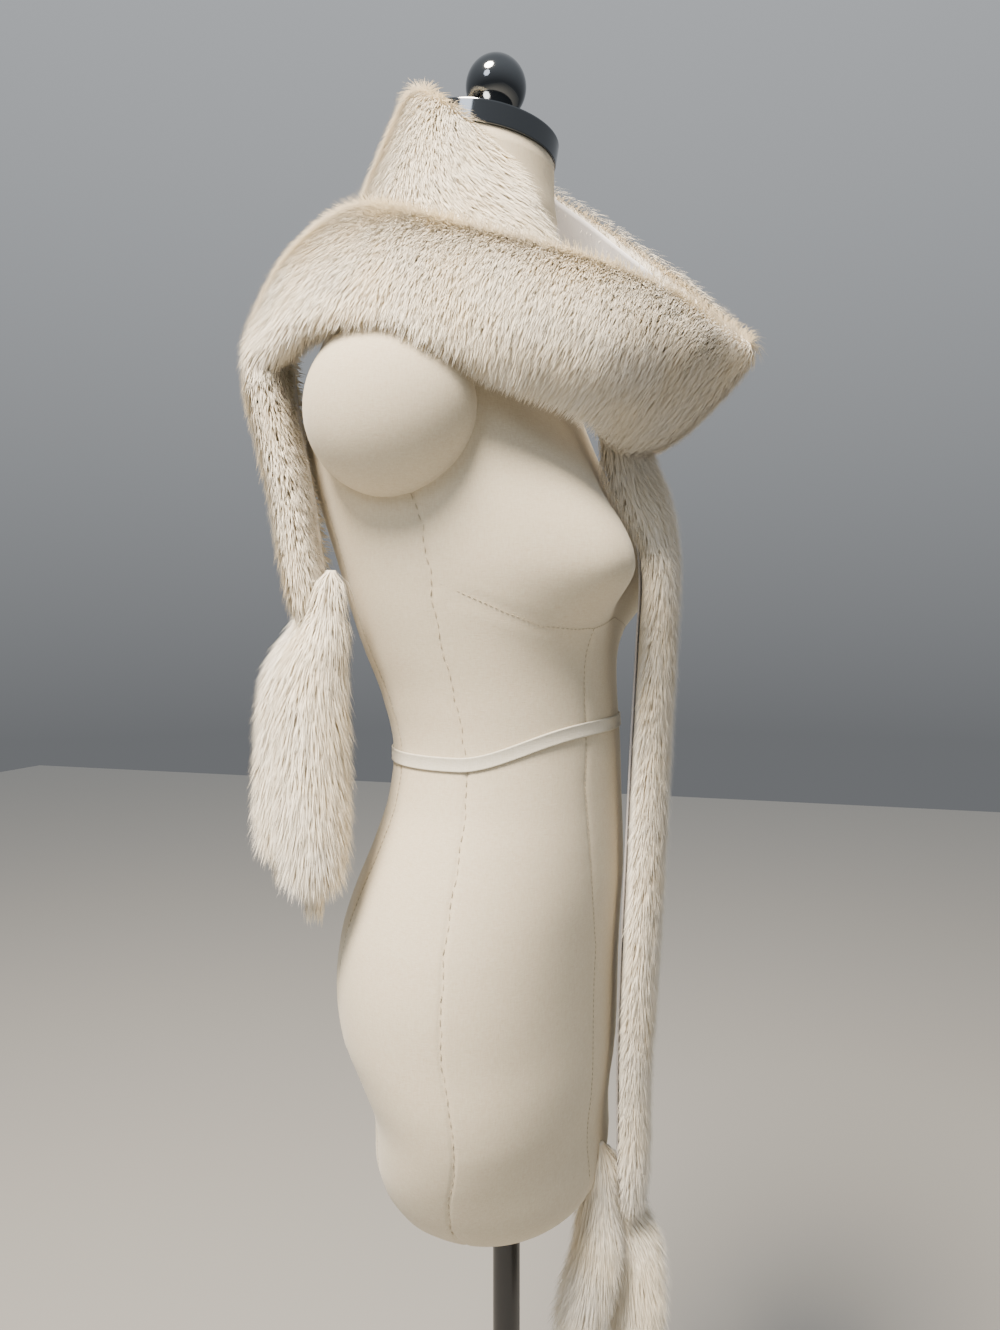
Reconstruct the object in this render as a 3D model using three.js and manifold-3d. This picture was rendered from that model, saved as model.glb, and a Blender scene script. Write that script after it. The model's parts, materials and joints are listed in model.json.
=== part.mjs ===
// A long fur collar wrap, wound once round the neck of a limbless dress form.
// Millimetres, +Z up. The origin is on the floor, under the pole of the stand.
// The form faces -Y, its own right side is -X and its own left side is +X.
import * as THREE from "three";
import { mergeVertices } from "three/addons/utils/BufferGeometryUtils.js";
import Module from "manifold-3d";

const wasm = await Module();
wasm.setup();

const GAP = 0.3;
const REST_GAP = 0.5;

// Stand
const BASE_RADIUS = 180;
const BASE_EDGE = 5;
const BASE_TOP = 9;
const BOSS_RADIUS = 24;
const BOSS_TOP = 42;
const POLE_RADIUS = 11;

// Dress form
const FORM_BOTTOM = 696;
const FORM_SIDES = 40;
const NECK_TOP = 1513;
const NECK_RADIUS = 55;
const NECK_BACKSET = 18;
const NECK_TILT = THREE.MathUtils.degToRad(10);
// The rings of the neck, one row each: depth below its top, extra radius and share of the tilt.
const NECK_LEVELS = [
  { below: 41, swell: 1, tilt: 0.3 },
  { below: 21, swell: 0, tilt: 0.7 },
  { below: 0, swell: 0, tilt: 1 },
];
const RIM_HEIGHT = 17;
const STEM_RADIUS = 17;
const STEM_SKIRT = 7;
const STEM_NECK = 9;
const STEM_HEIGHT = 13;
const BALL_RADIUS = 24;
// The rise of each breast: its middle, how far it stands out, and how far it spreads.
const BUST = { x: 84, z: 1183, out: 42, wide: 42, above: 44, below: 28 };
// The tape round the waist: its height at the back, and how much higher it runs at the front.
const TAPE = { z: 1044, rise: 22, reach: 88, width: 10, thick: 1.2 };
const CAP = { x: 138, y: 41, z: 1286, out: 47, deep: 60, tall: 60 };

// One row for each level of the body: half width, reach to the front and to the back,
// and how square the section is (2 is an ellipse).
const FORM_LEVELS = [
  { z: 696, half: 84, front: 59, back: 52, square: 2.1 },
  { z: 698, half: 98, front: 68, back: 64, square: 2.1 },
  { z: 704, half: 112, front: 75, back: 74, square: 2.1 },
  { z: 714, half: 125, front: 79, back: 82, square: 2.1 },
  { z: 728, half: 136, front: 80, back: 88, square: 2.1 },
  { z: 748, half: 146, front: 79, back: 91, square: 2.1 },
  { z: 768, half: 154, front: 80, back: 89, square: 2.1 },
  { z: 790, half: 160, front: 83, back: 89, square: 2.1 },
  { z: 815, half: 164, front: 85, back: 100, square: 2.1 },
  { z: 845, half: 165, front: 86, back: 116, square: 2.1 },
  { z: 880, half: 164, front: 87, back: 121, square: 2.1 },
  { z: 915, half: 158, front: 89, back: 118, square: 2.1 },
  { z: 945, half: 149, front: 91, back: 109, square: 2.1 },
  { z: 975, half: 138, front: 91, back: 97, square: 2.1 },
  { z: 1010, half: 125, front: 90, back: 86, square: 2.1 },
  { z: 1050, half: 118, front: 89, back: 83, square: 2.1 },
  { z: 1090, half: 121, front: 86, back: 92, square: 2.15 },
  { z: 1125, half: 128, front: 84, back: 105, square: 2.2 },
  { z: 1155, half: 134, front: 83, back: 114, square: 2.25 },
  { z: 1185, half: 138, front: 84, back: 122, square: 2.3 },
  { z: 1220, half: 140, front: 80, back: 133, square: 2.35 },
  { z: 1255, half: 141, front: 72, back: 144, square: 2.35 },
  { z: 1290, half: 143, front: 61, back: 147, square: 2.35 },
  { z: 1320, half: 145, front: 51, back: 140, square: 2.35 },
  { z: 1345, half: 144, front: 44, back: 128, square: 2.3 },
  { z: 1362, half: 135, front: 38, back: 118, square: 2.25 },
  { z: 1378, half: 121, front: 36, back: 107, square: 2.15 },
  { z: 1394, half: 103, front: 36, back: 97, square: 2.1 },
  { z: 1410, half: 84, front: 36, back: 88, square: 2.05 },
  { z: 1426, half: 69, front: 36, back: 81, square: 2 },
  { z: 1448, half: 60, front: 37, back: 76, square: 2 },
];

// The wrap: fur side out, thickness with its fur, and the pieces it is sewn from.
const LINING_THICK = 1.5;
const LINING_GAP = 0.9;
const LINING_INSET = 2;
const FOLD_ROW = 30;
const SIDE_POINTS = 6;
const EDGE_ROUND = 3;
const STRIP_CROWN = 0.12;
const STEPS_PER_SPAN = 2;

// Straight stretches, one row for each cross section: middle of the fur side, width and thickness.
const FRONT_STRIP = [
  { x: 9, y: -109, z: 684, width: 16, thick: 9 },
  { x: 9, y: -111, z: 688, width: 34, thick: 15 },
  { x: 9, y: -112, z: 698, width: 46, thick: 19 },
  { x: 8, y: -113, z: 722, width: 52, thick: 22 },
  { x: 8, y: -114, z: 790, width: 54, thick: 24 },
  { x: 7, y: -119, z: 870, width: 60, thick: 27 },
  { x: 6, y: -124, z: 960, width: 62, thick: 28 },
  { x: 6, y: -128, z: 1050, width: 63, thick: 28 },
  { x: 6, y: -132, z: 1125, width: 64, thick: 28 },
  { x: 6, y: -134, z: 1180, width: 65, thick: 28 },
];
const BACK_STRIP = [
  { x: -122, y: 149, z: 1308, width: 62, thick: 25 },
  { x: -123, y: 142, z: 1272, width: 56, thick: 24 },
  { x: -124, y: 132, z: 1232, width: 53, thick: 23 },
  { x: -124, y: 125, z: 1192, width: 51, thick: 22 },
  { x: -124, y: 120, z: 1164, width: 46, thick: 21 },
  { x: -124, y: 117, z: 1150, width: 36, thick: 17 },
  { x: -124, y: 114, z: 1143, width: 16, thick: 9 },
];

// The loop round the neck, one row for each cross section: its upper edge, the middle of its
// fur side and its lower edge. It runs up from the chest, past the right side of the neck,
// round the back, over the left shoulder, out to the cowl and over the right shoulder.
const LOOP = [
  { top: [37, -130, 1230], mid: [6, -131, 1224], low: [-26, -119, 1217], thick: 27 },
  { top: [33, -119, 1270], mid: [4, -116, 1262], low: [-33, -98, 1252], thick: 25 },
  { top: [20, -102, 1308], mid: [-10, -102, 1297], low: [-42, -95, 1284], thick: 22, starts: "neck_wrap" },
  { top: [-2, -89, 1346], mid: [-30, -90, 1331], low: [-60, -82, 1314], thick: 22 },
  { top: [-28, -75, 1384], mid: [-54, -74, 1364], low: [-81, -64, 1342], thick: 21 },
  { top: [-49, -59, 1418], mid: [-72, -55, 1394], low: [-93, -44, 1368], thick: 21 },
  { top: [-61, -43, 1448], mid: [-80, -37, 1416], low: [-98, -26, 1384], thick: 21 },
  { top: [-62, -26, 1476], mid: [-82, -16, 1436], low: [-101, -6, 1397], thick: 21 },
  { top: [-66, -5, 1501], mid: [-85, 8, 1454], low: [-104, 16, 1408], thick: 22 },
  { top: [-69, 20, 1526], mid: [-88, 34, 1472], low: [-105, 42, 1418], thick: 23 },
  { top: [-60, 46, 1547], mid: [-80, 62, 1488], low: [-97, 76, 1428], thick: 24, starts: "back_neck" },
  { top: [-36, 67, 1562], mid: [-51, 88, 1500], low: [-70, 106, 1438], thick: 25 },
  { top: [0, 77, 1568], mid: [-4, 106, 1504], low: [-14, 124, 1440], thick: 25 },
  { top: [38, 70, 1563], mid: [46, 98, 1500], low: [42, 121, 1436], thick: 25, starts: "left_band" },
  { top: [66, 46, 1551], mid: [86, 74, 1490], low: [92, 100, 1428], thick: 25 },
  { top: [84, 8, 1541], mid: [114, 34, 1476], low: [134, 60, 1414], thick: 25 },
  { top: [95, -34, 1517], mid: [130, -18, 1452], low: [156, 4, 1392], thick: 25 },
  { top: [92, -80, 1483], mid: [124, -74, 1417], low: [146, -56, 1350], thick: 25 },
  { top: [70, -126, 1441], mid: [94, -124, 1378], low: [102, -100, 1306], thick: 25, starts: "cowl" },
  { top: [38, -168, 1392], mid: [48, -158, 1336], low: [46, -116, 1276], thick: 24 },
  { top: [2, -200, 1345], mid: [-2, -166, 1306], low: [-12, -106, 1262], thick: 24 },
  { top: [-28, -180, 1357], mid: [-50, -160, 1327], low: [-48, -102, 1262], thick: 25 },
  { top: [-52, -150, 1377], mid: [-86, -136, 1324], low: [-80, -92, 1266], thick: 26 },
  { top: [-76, -114, 1390], mid: [-116, -110, 1322], low: [-104, -80, 1272], thick: 26, starts: "right_band" },
  { top: [-92, -80, 1400], mid: [-134, -82, 1330], low: [-124, -64, 1280], thick: 26 },
  { top: [-102, -46, 1409], mid: [-146, -54, 1344], low: [-142, -48, 1289], thick: 26 },
  { top: [-106, -10, 1420], mid: [-152, -26, 1360], low: [-160, -30, 1303], thick: 26 },
  { top: [-105, 22, 1431], mid: [-156, 4, 1376], low: [-177, -6, 1315], thick: 26 },
  { top: [-99, 52, 1443], mid: [-154, 34, 1393], low: [-184, 20, 1330], thick: 26 },
  { top: [-89, 86, 1452], mid: [-144, 74, 1406], low: [-184, 56, 1340], thick: 26 },
  { top: [-82, 120, 1441], mid: [-132, 111, 1405], low: [-176, 92, 1343], thick: 26 },
  { top: [-80, 149, 1413], mid: [-122, 142, 1385], low: [-168, 120, 1334], thick: 26, starts: "back_strip" },
  { top: [-84, 158, 1366], mid: [-121, 157, 1350], low: [-160, 140, 1326], thick: 26 },
];

// Tails, one row for each: the strip that it hangs from, its fullest radius and its path down
// from the root.
const TAILS = [
  {
    name: "tail_front_right",
    hangs: "front_strip",
    full: 18,
    path: [[-11, -78.9, 738], [-12, -78.1, 700], [-18, -77, 655], [-18, -60, 580]],
  },
  {
    name: "tail_front_left",
    hangs: "front_strip",
    full: 22,
    path: [[14, -79.1, 722], [17, -80.5, 692], [21, -99, 648], [20, -103, 552]],
  },
  {
    name: "tail_back_right",
    hangs: "back_strip",
    full: 25,
    path: [[-134, 87.2, 1178], [-137, 90, 1144], [-140, 99, 1090], [-139, 99, 934]],
  },
  {
    name: "tail_back_left",
    hangs: "back_strip",
    full: 23,
    path: [[-94, 112, 1172], [-88.5, 127, 1140], [-91, 142, 1090], [-95, 149, 946]],
  },
];
const TAIL_SIDES = 10;

// How full the tails of each strip are along their length, as a share of the fullest radius.
const TAIL_FULLNESS = {
  front_strip: [0.36, 0.5, 0.68, 0.82, 0.91, 0.97, 1, 1, 0.97, 0.88, 0.68, 0.3],
  back_strip: [0.36, 0.54, 0.78, 0.92, 0.98, 1, 1, 1, 0.98, 0.9, 0.7, 0.32],
};

const FUR = 0xe0d8c4;
const materials = {
  fur: new THREE.MeshStandardMaterial({ color: FUR, roughness: 0.95, metalness: 0 }),
  satin: new THREE.MeshStandardMaterial({ color: 0xdcdad6, roughness: 0.4, metalness: 0 }),
  linen: new THREE.MeshStandardMaterial({ color: 0xc8c0ac, roughness: 0.9, metalness: 0 }),
  tape: new THREE.MeshStandardMaterial({ color: 0xcfcabc, roughness: 0.85, metalness: 0 }),
  chrome: new THREE.MeshStandardMaterial({ color: 0x9aa0a6, roughness: 0.12, metalness: 1 }),
  steel: new THREE.MeshStandardMaterial({ color: 0x101216, roughness: 0.45, metalness: 0.3 }),
};

const part = new THREE.Group();

function addPiece(name, geometry, material) {
  const mesh = new THREE.Mesh(geometry, material);
  mesh.name = name;
  part.add(mesh);
}

// Smooth value between table rows, for any list of numbers or vectors.
function spline(values, at) {
  const last = values.length - 1;
  const i = Math.min(Math.floor(at), last - 1);
  const t = at - i;
  const p0 = values[Math.max(i - 1, 0)];
  const p1 = values[i];
  const p2 = values[i + 1];
  const p3 = values[Math.min(i + 2, last)];
  return (
    0.5 *
    (2 * p1 + (p2 - p0) * t + (2 * p0 - 5 * p1 + 4 * p2 - p3) * t * t + (3 * p1 - p0 - 3 * p2 + p3) * t ** 3)
  );
}

function splinePoint(points, at) {
  return new THREE.Vector3(
    spline(points.map((p) => p.x), at),
    spline(points.map((p) => p.y), at),
    spline(points.map((p) => p.z), at),
  );
}

// The faces between rings of points, the last ring joined to the first. From the point
// turnFrom of each ring on, the four-sided cells are split along their other diagonal.
function aroundFaces(count, sides, turnFrom = sides) {
  const faces = [];
  for (let r = 0; r < count; r += 1) {
    for (let k = 0; k < sides; k += 1) {
      const next = ((r + 1) % count) * sides;
      const a = r * sides + k;
      const b = r * sides + ((k + 1) % sides);
      const c = next + ((k + 1) % sides);
      const d = next + k;
      if (k < turnFrom) faces.push([a, b, c], [a, c, d]);
      else faces.push([a, b, d], [b, c, d]);
    }
  }
  return faces;
}

// A closed body through rings of points, each ring going round the same way.
// Its ends are closed across from each point to its opposite one, or else to the middle.
function loft(rings, opposite, turnFrom) {
  const sides = rings[0].length;
  const points = rings.flat();
  const faces = aroundFaces(rings.length, sides, turnFrom).slice(0, -2 * sides);
  const firstEnd = { start: 0, turned: true };
  const lastEnd = { start: (rings.length - 1) * sides, turned: false };
  for (const { start, turned } of [firstEnd, lastEnd]) {
    const close = (a, b, c) => {
      if (a === b || b === c || a === c) return;
      faces.push(turned ? [start + c, start + b, start + a] : [start + a, start + b, start + c]);
    };
    if (opposite) {
      for (let k = 0; k + 1 <= opposite(k + 1); k += 1) {
        close(k, k + 1, opposite(k));
        close(k + 1, opposite(k + 1), opposite(k));
      }
    } else {
      const ring = points.slice(start, start + sides);
      const hub = points.length - start;
      points.push(ring.reduce((sum, p) => sum.add(p), new THREE.Vector3()).divideScalar(sides));
      for (let k = 0; k < sides; k += 1) close(k, (k + 1) % sides, hub);
    }
  }
  return solidFaces(points, faces);
}

function solidFaces(points, faces) {
  let volume = 0;
  for (const [a, b, c] of faces) {
    volume += points[a].dot(new THREE.Vector3().crossVectors(points[b], points[c]));
  }
  const turned = volume < 0 ? faces.map(([a, b, c]) => [a, c, b]) : faces;
  const geometry = new THREE.BufferGeometry();
  geometry.setAttribute("position", new THREE.Float32BufferAttribute(points.flatMap((p) => p.toArray()), 3));
  geometry.setIndex(turned.flat());
  geometry.computeVertexNormals();
  return geometry;
}

function toSolid(geometry) {
  const bare = geometry.clone();
  bare.deleteAttribute("normal");
  bare.deleteAttribute("uv");
  const merged = mergeVertices(bare, 1e-4);
  return new wasm.Manifold(
    new wasm.Mesh({
      numProp: 3,
      vertProperties: new Float32Array(merged.attributes.position.array),
      triVerts: new Uint32Array(merged.index.array),
    }),
  );
}

function fromSolid(solid) {
  const mesh = solid.getMesh();
  const geometry = new THREE.BufferGeometry();
  geometry.setAttribute("position", new THREE.Float32BufferAttribute(mesh.vertProperties, 3));
  geometry.setIndex(Array.from(mesh.triVerts));
  geometry.computeVertexNormals();
  return geometry;
}

// The part of a solid that lies outside the others, without loose crumbs.
function cutAway(geometry, others) {
  let solid = toSolid(geometry);
  let touched = false;
  for (const other of others.map(toSolid)) {
    if (solid.intersect(other).volume() <= 0) continue;
    solid = solid.subtract(other);
    touched = true;
  }
  if (!touched) return geometry;
  return fromSolid(solid.decompose().sort((a, b) => b.volume() - a.volume())[0]);
}

// Dress form

function bustOut(x, z) {
  const spread = z > BUST.z ? BUST.above : BUST.below;
  const level = Math.exp(-(((z - BUST.z) / spread) ** 2) / 2);
  const across = (side) => Math.exp(-(((x - side * BUST.x) / BUST.wide) ** 2) / 2);
  return BUST.out * level * (across(1) + across(-1));
}

// A point on a level of the body, at an angle (0 is the left side, a quarter turn is the back).
function levelPoint(level, angle, out) {
  const centre = (level.back - level.front) / 2;
  const deep = (level.back + level.front) / 2;
  const round = (v) => Math.sign(v) * Math.abs(v) ** (2 / level.square);
  const x = (level.half + out) * round(Math.cos(angle));
  let y = centre + (deep + out) * round(Math.sin(angle));
  if (y < centre) y -= bustOut(x, level.z) * Math.min(1, (1.3 * (centre - y)) / deep);
  return new THREE.Vector3(x, y, level.z);
}

// A point on the flat facets between two levels.
function formPoint(z, angle, out = 0) {
  const above = FORM_LEVELS.findIndex((level) => level.z > z);
  const [low, high] = FORM_LEVELS.slice(above - 1, above + 1);
  const from = levelPoint(low, angle, out);
  return from.lerp(levelPoint(high, angle, out), (z - low.z) / (high.z - low.z));
}

function formAngles() {
  return Array.from({ length: FORM_SIDES }, (_, k) => (2 * Math.PI * k) / FORM_SIDES);
}

function neckRing(z, radius, tilt) {
  return formAngles().map((angle) => {
    const y = radius * Math.sin(angle);
    return new THREE.Vector3(radius * Math.cos(angle), NECK_BACKSET + y, z + y * Math.tan(tilt));
  });
}

function formBody(out = 0) {
  const rings = FORM_LEVELS.map((level) => formAngles().map((angle) => levelPoint(level, angle, out)));
  for (const point of rings[0]) point.z -= out;
  for (const { below, swell, tilt } of NECK_LEVELS) {
    const z = NECK_TOP - below + (below === 0 ? out : 0);
    rings.push(neckRing(z, NECK_RADIUS + swell + out, NECK_TILT * tilt));
  }
  return loft(rings);
}

function capBall(side, out = 0) {
  const ball = new THREE.SphereGeometry(1, 24, 14);
  ball.scale(CAP.out + out, CAP.deep + out, CAP.tall + out);
  ball.translate(side * CAP.x, CAP.y, CAP.z);
  return ball;
}

function waistTape() {
  const height = (y) => TAPE.z + TAPE.rise * THREE.MathUtils.smoothstep(-y, 0, TAPE.reach);
  const rings = formAngles().map((angle) => {
    const z = height(formPoint(TAPE.z, angle).y);
    const low = z - TAPE.width / 2;
    const high = z + TAPE.width / 2;
    return [
      formPoint(low, angle, GAP),
      formPoint(low, angle, GAP + TAPE.thick),
      formPoint(high, angle, GAP + TAPE.thick),
      formPoint(high, angle, GAP),
    ];
  });
  return solidFaces(rings.flat(), aroundFaces(rings.length, rings[0].length));
}

// A round body from its profile of radius and height, turned about the vertical.
function turned(profile, segments) {
  const geometry = new THREE.LatheGeometry(profile.map(([r, z]) => new THREE.Vector2(r, z)), segments);
  return geometry.rotateX(Math.PI / 2);
}

addPiece("form_torso", formBody(), materials.linen);
addPiece("shoulder_cap_right", cutAway(capBall(-1), [formBody(GAP)]), materials.linen);
addPiece("shoulder_cap_left", cutAway(capBall(1), [formBody(GAP)]), materials.linen);
addPiece("waist_tape", waistTape(), materials.tape);

// Neck plate, stem and ball, turned on the neck's own tilted axis

function onNeck(geometry) {
  return geometry.rotateX(NECK_TILT).translate(0, NECK_BACKSET, NECK_TOP);
}

function neckPlate(out = 0) {
  const radius = NECK_RADIUS / Math.cos(NECK_TILT) + 1 + out;
  const bottom = GAP - out;
  const top = GAP + RIM_HEIGHT + out;
  const profile = [
    [0, bottom],
    [radius - 1.5, bottom],
    [radius, bottom + 1.5],
    [radius, top - 2],
    [radius - 2, top],
    [0, top],
  ];
  return onNeck(turned(profile, 32));
}

function finialStem() {
  const bottom = RIM_HEIGHT + 2 * GAP;
  const profile = [
    [0, bottom],
    [STEM_RADIUS, bottom],
    [STEM_RADIUS, bottom + STEM_SKIRT],
    [STEM_NECK, bottom + STEM_SKIRT + 3],
    [STEM_NECK, bottom + STEM_HEIGHT],
    [0, bottom + STEM_HEIGHT],
  ];
  return onNeck(turned(profile, 22));
}

function finialBall() {
  const sink = BALL_RADIUS - Math.sqrt(BALL_RADIUS ** 2 - STEM_NECK ** 2);
  const bottom = RIM_HEIGHT + STEM_HEIGHT + 3 * GAP;
  const ball = new THREE.SphereGeometry(BALL_RADIUS, 22, 14).rotateX(Math.PI / 2);
  ball.translate(0, 0, bottom - sink + BALL_RADIUS);
  const seat = turned([[0, 0], [STEM_NECK + 2, 0], [STEM_NECK + 2, bottom], [0, bottom]], 22);
  return onNeck(cutAway(ball, [seat]));
}

addPiece("neck_plate", neckPlate(), materials.chrome);
addPiece("finial_stem", finialStem(), materials.chrome);
addPiece("finial_ball", finialBall(), materials.chrome);

// Pole and base plate
const poleProfile = [
  [0, BOSS_TOP + GAP],
  [POLE_RADIUS, BOSS_TOP + GAP],
  [POLE_RADIUS, FORM_BOTTOM - GAP],
  [0, FORM_BOTTOM - GAP],
];
addPiece("pole", turned(poleProfile, 24), materials.steel);
const baseProfile = [
  [0, 0],
  [BASE_RADIUS, 0],
  [BASE_RADIUS, BASE_EDGE],
  [BASE_RADIUS - 14, BASE_TOP],
  [BOSS_RADIUS + 6, BASE_TOP + 2],
  [BOSS_RADIUS, BASE_TOP + 8],
  [BOSS_RADIUS - 4, BOSS_TOP],
  [0, BOSS_TOP],
];
addPiece("base_plate", turned(baseProfile, 56), materials.steel);

// Wrap

function stripRow(row, facing, starts) {
  const at = (across, out, up) => [row.x + across, row.y + out * facing, row.z + up];
  return {
    starts,
    top: at(row.width / 2, 0, 0),
    mid: at(0, row.thick * STRIP_CROWN, 0),
    low: at(-row.width / 2, 0, 0),
    thick: row.thick,
  };
}

const bandRows = [
  ...FRONT_STRIP.map((row, i) => stripRow(row, -1, i === 0 ? "front_strip" : undefined)),
  ...LOOP,
  ...BACK_STRIP.map((row) => stripRow(row, 1)),
].map((row) => ({
  starts: row.starts,
  top: new THREE.Vector3(...row.top),
  mid: new THREE.Vector3(...row.mid),
  low: new THREE.Vector3(...row.low),
  thick: row.thick,
}));

// The fur side at a place along the band and a share of its width (0 is the upper edge).
function furPoint(along, across) {
  const top = splinePoint(bandRows.map((row) => row.top), along);
  const mid = splinePoint(bandRows.map((row) => row.mid), along);
  const low = splinePoint(bandRows.map((row) => row.low), along);
  const first = top.distanceTo(mid);
  const whole = first + mid.distanceTo(low);
  const knee = first / whole;
  const lag = (a, b, c) => ((across - a) * (across - b)) / ((c - a) * (c - b));
  return top
    .multiplyScalar(lag(knee, 1, 0))
    .addScaledVector(mid, lag(0, 1, knee))
    .addScaledVector(low, lag(0, knee, 1));
}

function furNormal(along, across) {
  const step = 0.02;
  const last = bandRows.length - 1;
  const ahead = furPoint(Math.min(along + step, last), across);
  const behind = furPoint(Math.max(along - step, 0), across);
  const up = furPoint(along, Math.max(across - step, 0));
  const down = furPoint(along, Math.min(across + step, 1));
  return up.sub(down).cross(ahead.sub(behind)).normalize();
}

function bandThick(along) {
  return spline(bandRows.map((row) => row.thick), along);
}

function bandRun(along, shift) {
  const ahead = furPoint(Math.min(along + 0.02, bandRows.length - 1), 0.5);
  const behind = furPoint(Math.max(along - 0.02, 0), 0.5);
  return ahead.sub(behind).normalize().multiplyScalar(shift);
}

function under(along, share, depth, run) {
  return furPoint(along, share).addScaledVector(furNormal(along, share), -depth).add(run);
}

// Shares of the band's width, closer together towards its rounded edges.
const SHARES = Array.from({ length: SIDE_POINTS + 1 }, (_, k) => (1 - Math.cos((Math.PI * k) / SIDE_POINTS)) / 2);

// One cross section of the band: fur side from edge to edge, then the flesh side back.
function furSection(along, shift, grow) {
  const half = bandThick(along) / 2;
  const run = bandRun(along, shift);
  const across = furPoint(along, 0).sub(furPoint(along, 1)).setLength(grow);
  const at = (share, side) => {
    const fullness = (1 - Math.abs(2 * share - 1) ** EDGE_ROUND) ** (1 / EDGE_ROUND);
    const point = under(along, share, half - side * (half * fullness + grow), run);
    return point.addScaledVector(across, 1 - 2 * share);
  };
  const outer = SHARES.map((share) => at(share, 1));
  const inner = SHARES.slice(1, -1).reverse().map((share) => at(share, -1));
  return [...outer, ...inner];
}

// One cross section of the lining, a thin sheet under the flesh side, narrower than the band:
// it runs from one of the shares of its width to another.
function liningSection(along, shift, { from, to }) {
  const shares = SHARES.slice(from, to + 1);
  const top = bandThick(along) + LINING_GAP;
  const run = bandRun(along, shift);
  const outer = shares.map((share) => under(along, share, top, run));
  const inner = shares.map((share) => under(along, share, top + LINING_THICK, run)).reverse();
  return [...outer, ...inner];
}

const stretchStarts = bandRows
  .map((row, i) => ({ name: row.starts, from: i }))
  .filter(({ name }) => name);
const stretchEnds = [...stretchStarts.slice(1).map(({ from }) => from), bandRows.length - 1];
const stretches = Object.fromEntries(stretchStarts.map(({ name, from }, i) => [name, { from, to: stretchEnds[i] }]));

function stretchSteps({ from, to }) {
  const count = (to - from) * STEPS_PER_SPAN;
  return Array.from({ length: count + 1 }, (_, k) => from + k / STEPS_PER_SPAN);
}

// Half of a seam's gap is taken off each end that meets another stretch.
function seamShift(along, { from, to }) {
  if (along === from && from > 0) return GAP / 2;
  if (along === to && to < bandRows.length - 1) return -GAP / 2;
  return 0;
}

function furStretch(stretch, grow = 0) {
  const shift = (along) => (grow > 0 ? 0 : seamShift(along, stretch));
  const rings = stretchSteps(stretch).map((along) => furSection(along, shift(along), grow));
  return loft(rings, (k) => (rings[0].length - k) % rings[0].length);
}

// The lining stops short of the two ends of the wrap, by a number of table rows. It has no
// ring at the row of the cowl's point, where the flesh side is too tight for one. Both of its
// sides are split along the same diagonals, so that twisted cells stay apart.
function liningStretch(stretch, width) {
  const last = bandRows.length - 1 - LINING_INSET;
  const covered = (along) => along >= LINING_INSET && along <= last && along !== FOLD_ROW;
  const steps = stretchSteps(stretch).filter(covered);
  const rings = steps.map((along) => liningSection(along, seamShift(along, stretch), width));
  return loft(rings, (k) => rings[0].length - 1 - k, rings[0].length / 2);
}

function tailBody({ hangs, path, full }) {
  const fullness = TAIL_FULLNESS[hangs];
  const curve = new THREE.CatmullRomCurve3(path.map((p) => new THREE.Vector3(...p)));
  const rings = fullness.map((share, i) => {
    const centre = curve.getPointAt(i / (fullness.length - 1));
    return Array.from({ length: TAIL_SIDES }, (_, k) => {
      const angle = (2 * Math.PI * k) / TAIL_SIDES;
      const out = new THREE.Vector3(Math.cos(angle), Math.sin(angle), 0);
      return centre.clone().addScaledVector(out, full * share);
    });
  });
  return loft(rings);
}

// What each stretch lies against, grown by the gap that it keeps.
const against = {
  form: formBody(REST_GAP),
  plate: neckPlate(REST_GAP),
  capRight: capBall(-1, REST_GAP),
  capLeft: capBall(1, REST_GAP),
  frontStrip: furStretch(stretches.front_strip, REST_GAP),
  neckWrap: furStretch(stretches.neck_wrap, REST_GAP),
  backNeck: furStretch(stretches.back_neck, REST_GAP),
};
const { form, plate, capRight, capLeft, frontStrip, neckWrap, backNeck } = against;
const RESTS = {
  front_strip: [form],
  neck_wrap: [form, plate],
  back_neck: [form, plate],
  left_band: [form, plate, capLeft],
  cowl: [form, frontStrip, neckWrap],
  right_band: [form, capRight, frontStrip, neckWrap, backNeck],
  back_strip: [form, capRight],
};
const LININGS = [
  { name: "front_strip", from: 1, to: 5 },
  { name: "left_band", from: 1, to: 5 },
  { name: "cowl", from: 2, to: 4 },
  { name: "back_strip", from: 1, to: 5 },
];

for (const [name, stretch] of Object.entries(stretches)) {
  addPiece(name, cutAway(furStretch(stretch), RESTS[name]), materials.fur);
}
for (const { name, ...width } of LININGS) {
  const fur = furStretch(stretches[name], REST_GAP);
  const sheet = liningStretch(stretches[name], width);
  addPiece(`lining_${name}`, cutAway(sheet, [fur, ...RESTS[name]]), materials.satin);
}
for (const tail of TAILS) {
  addPiece(tail.name, cutAway(tailBody(tail), [form]), materials.fur);
}

export default part;
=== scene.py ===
import json
import math

import bmesh
import bpy
import numpy as np
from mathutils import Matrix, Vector
from mathutils.bvhtree import BVHTree

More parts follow.
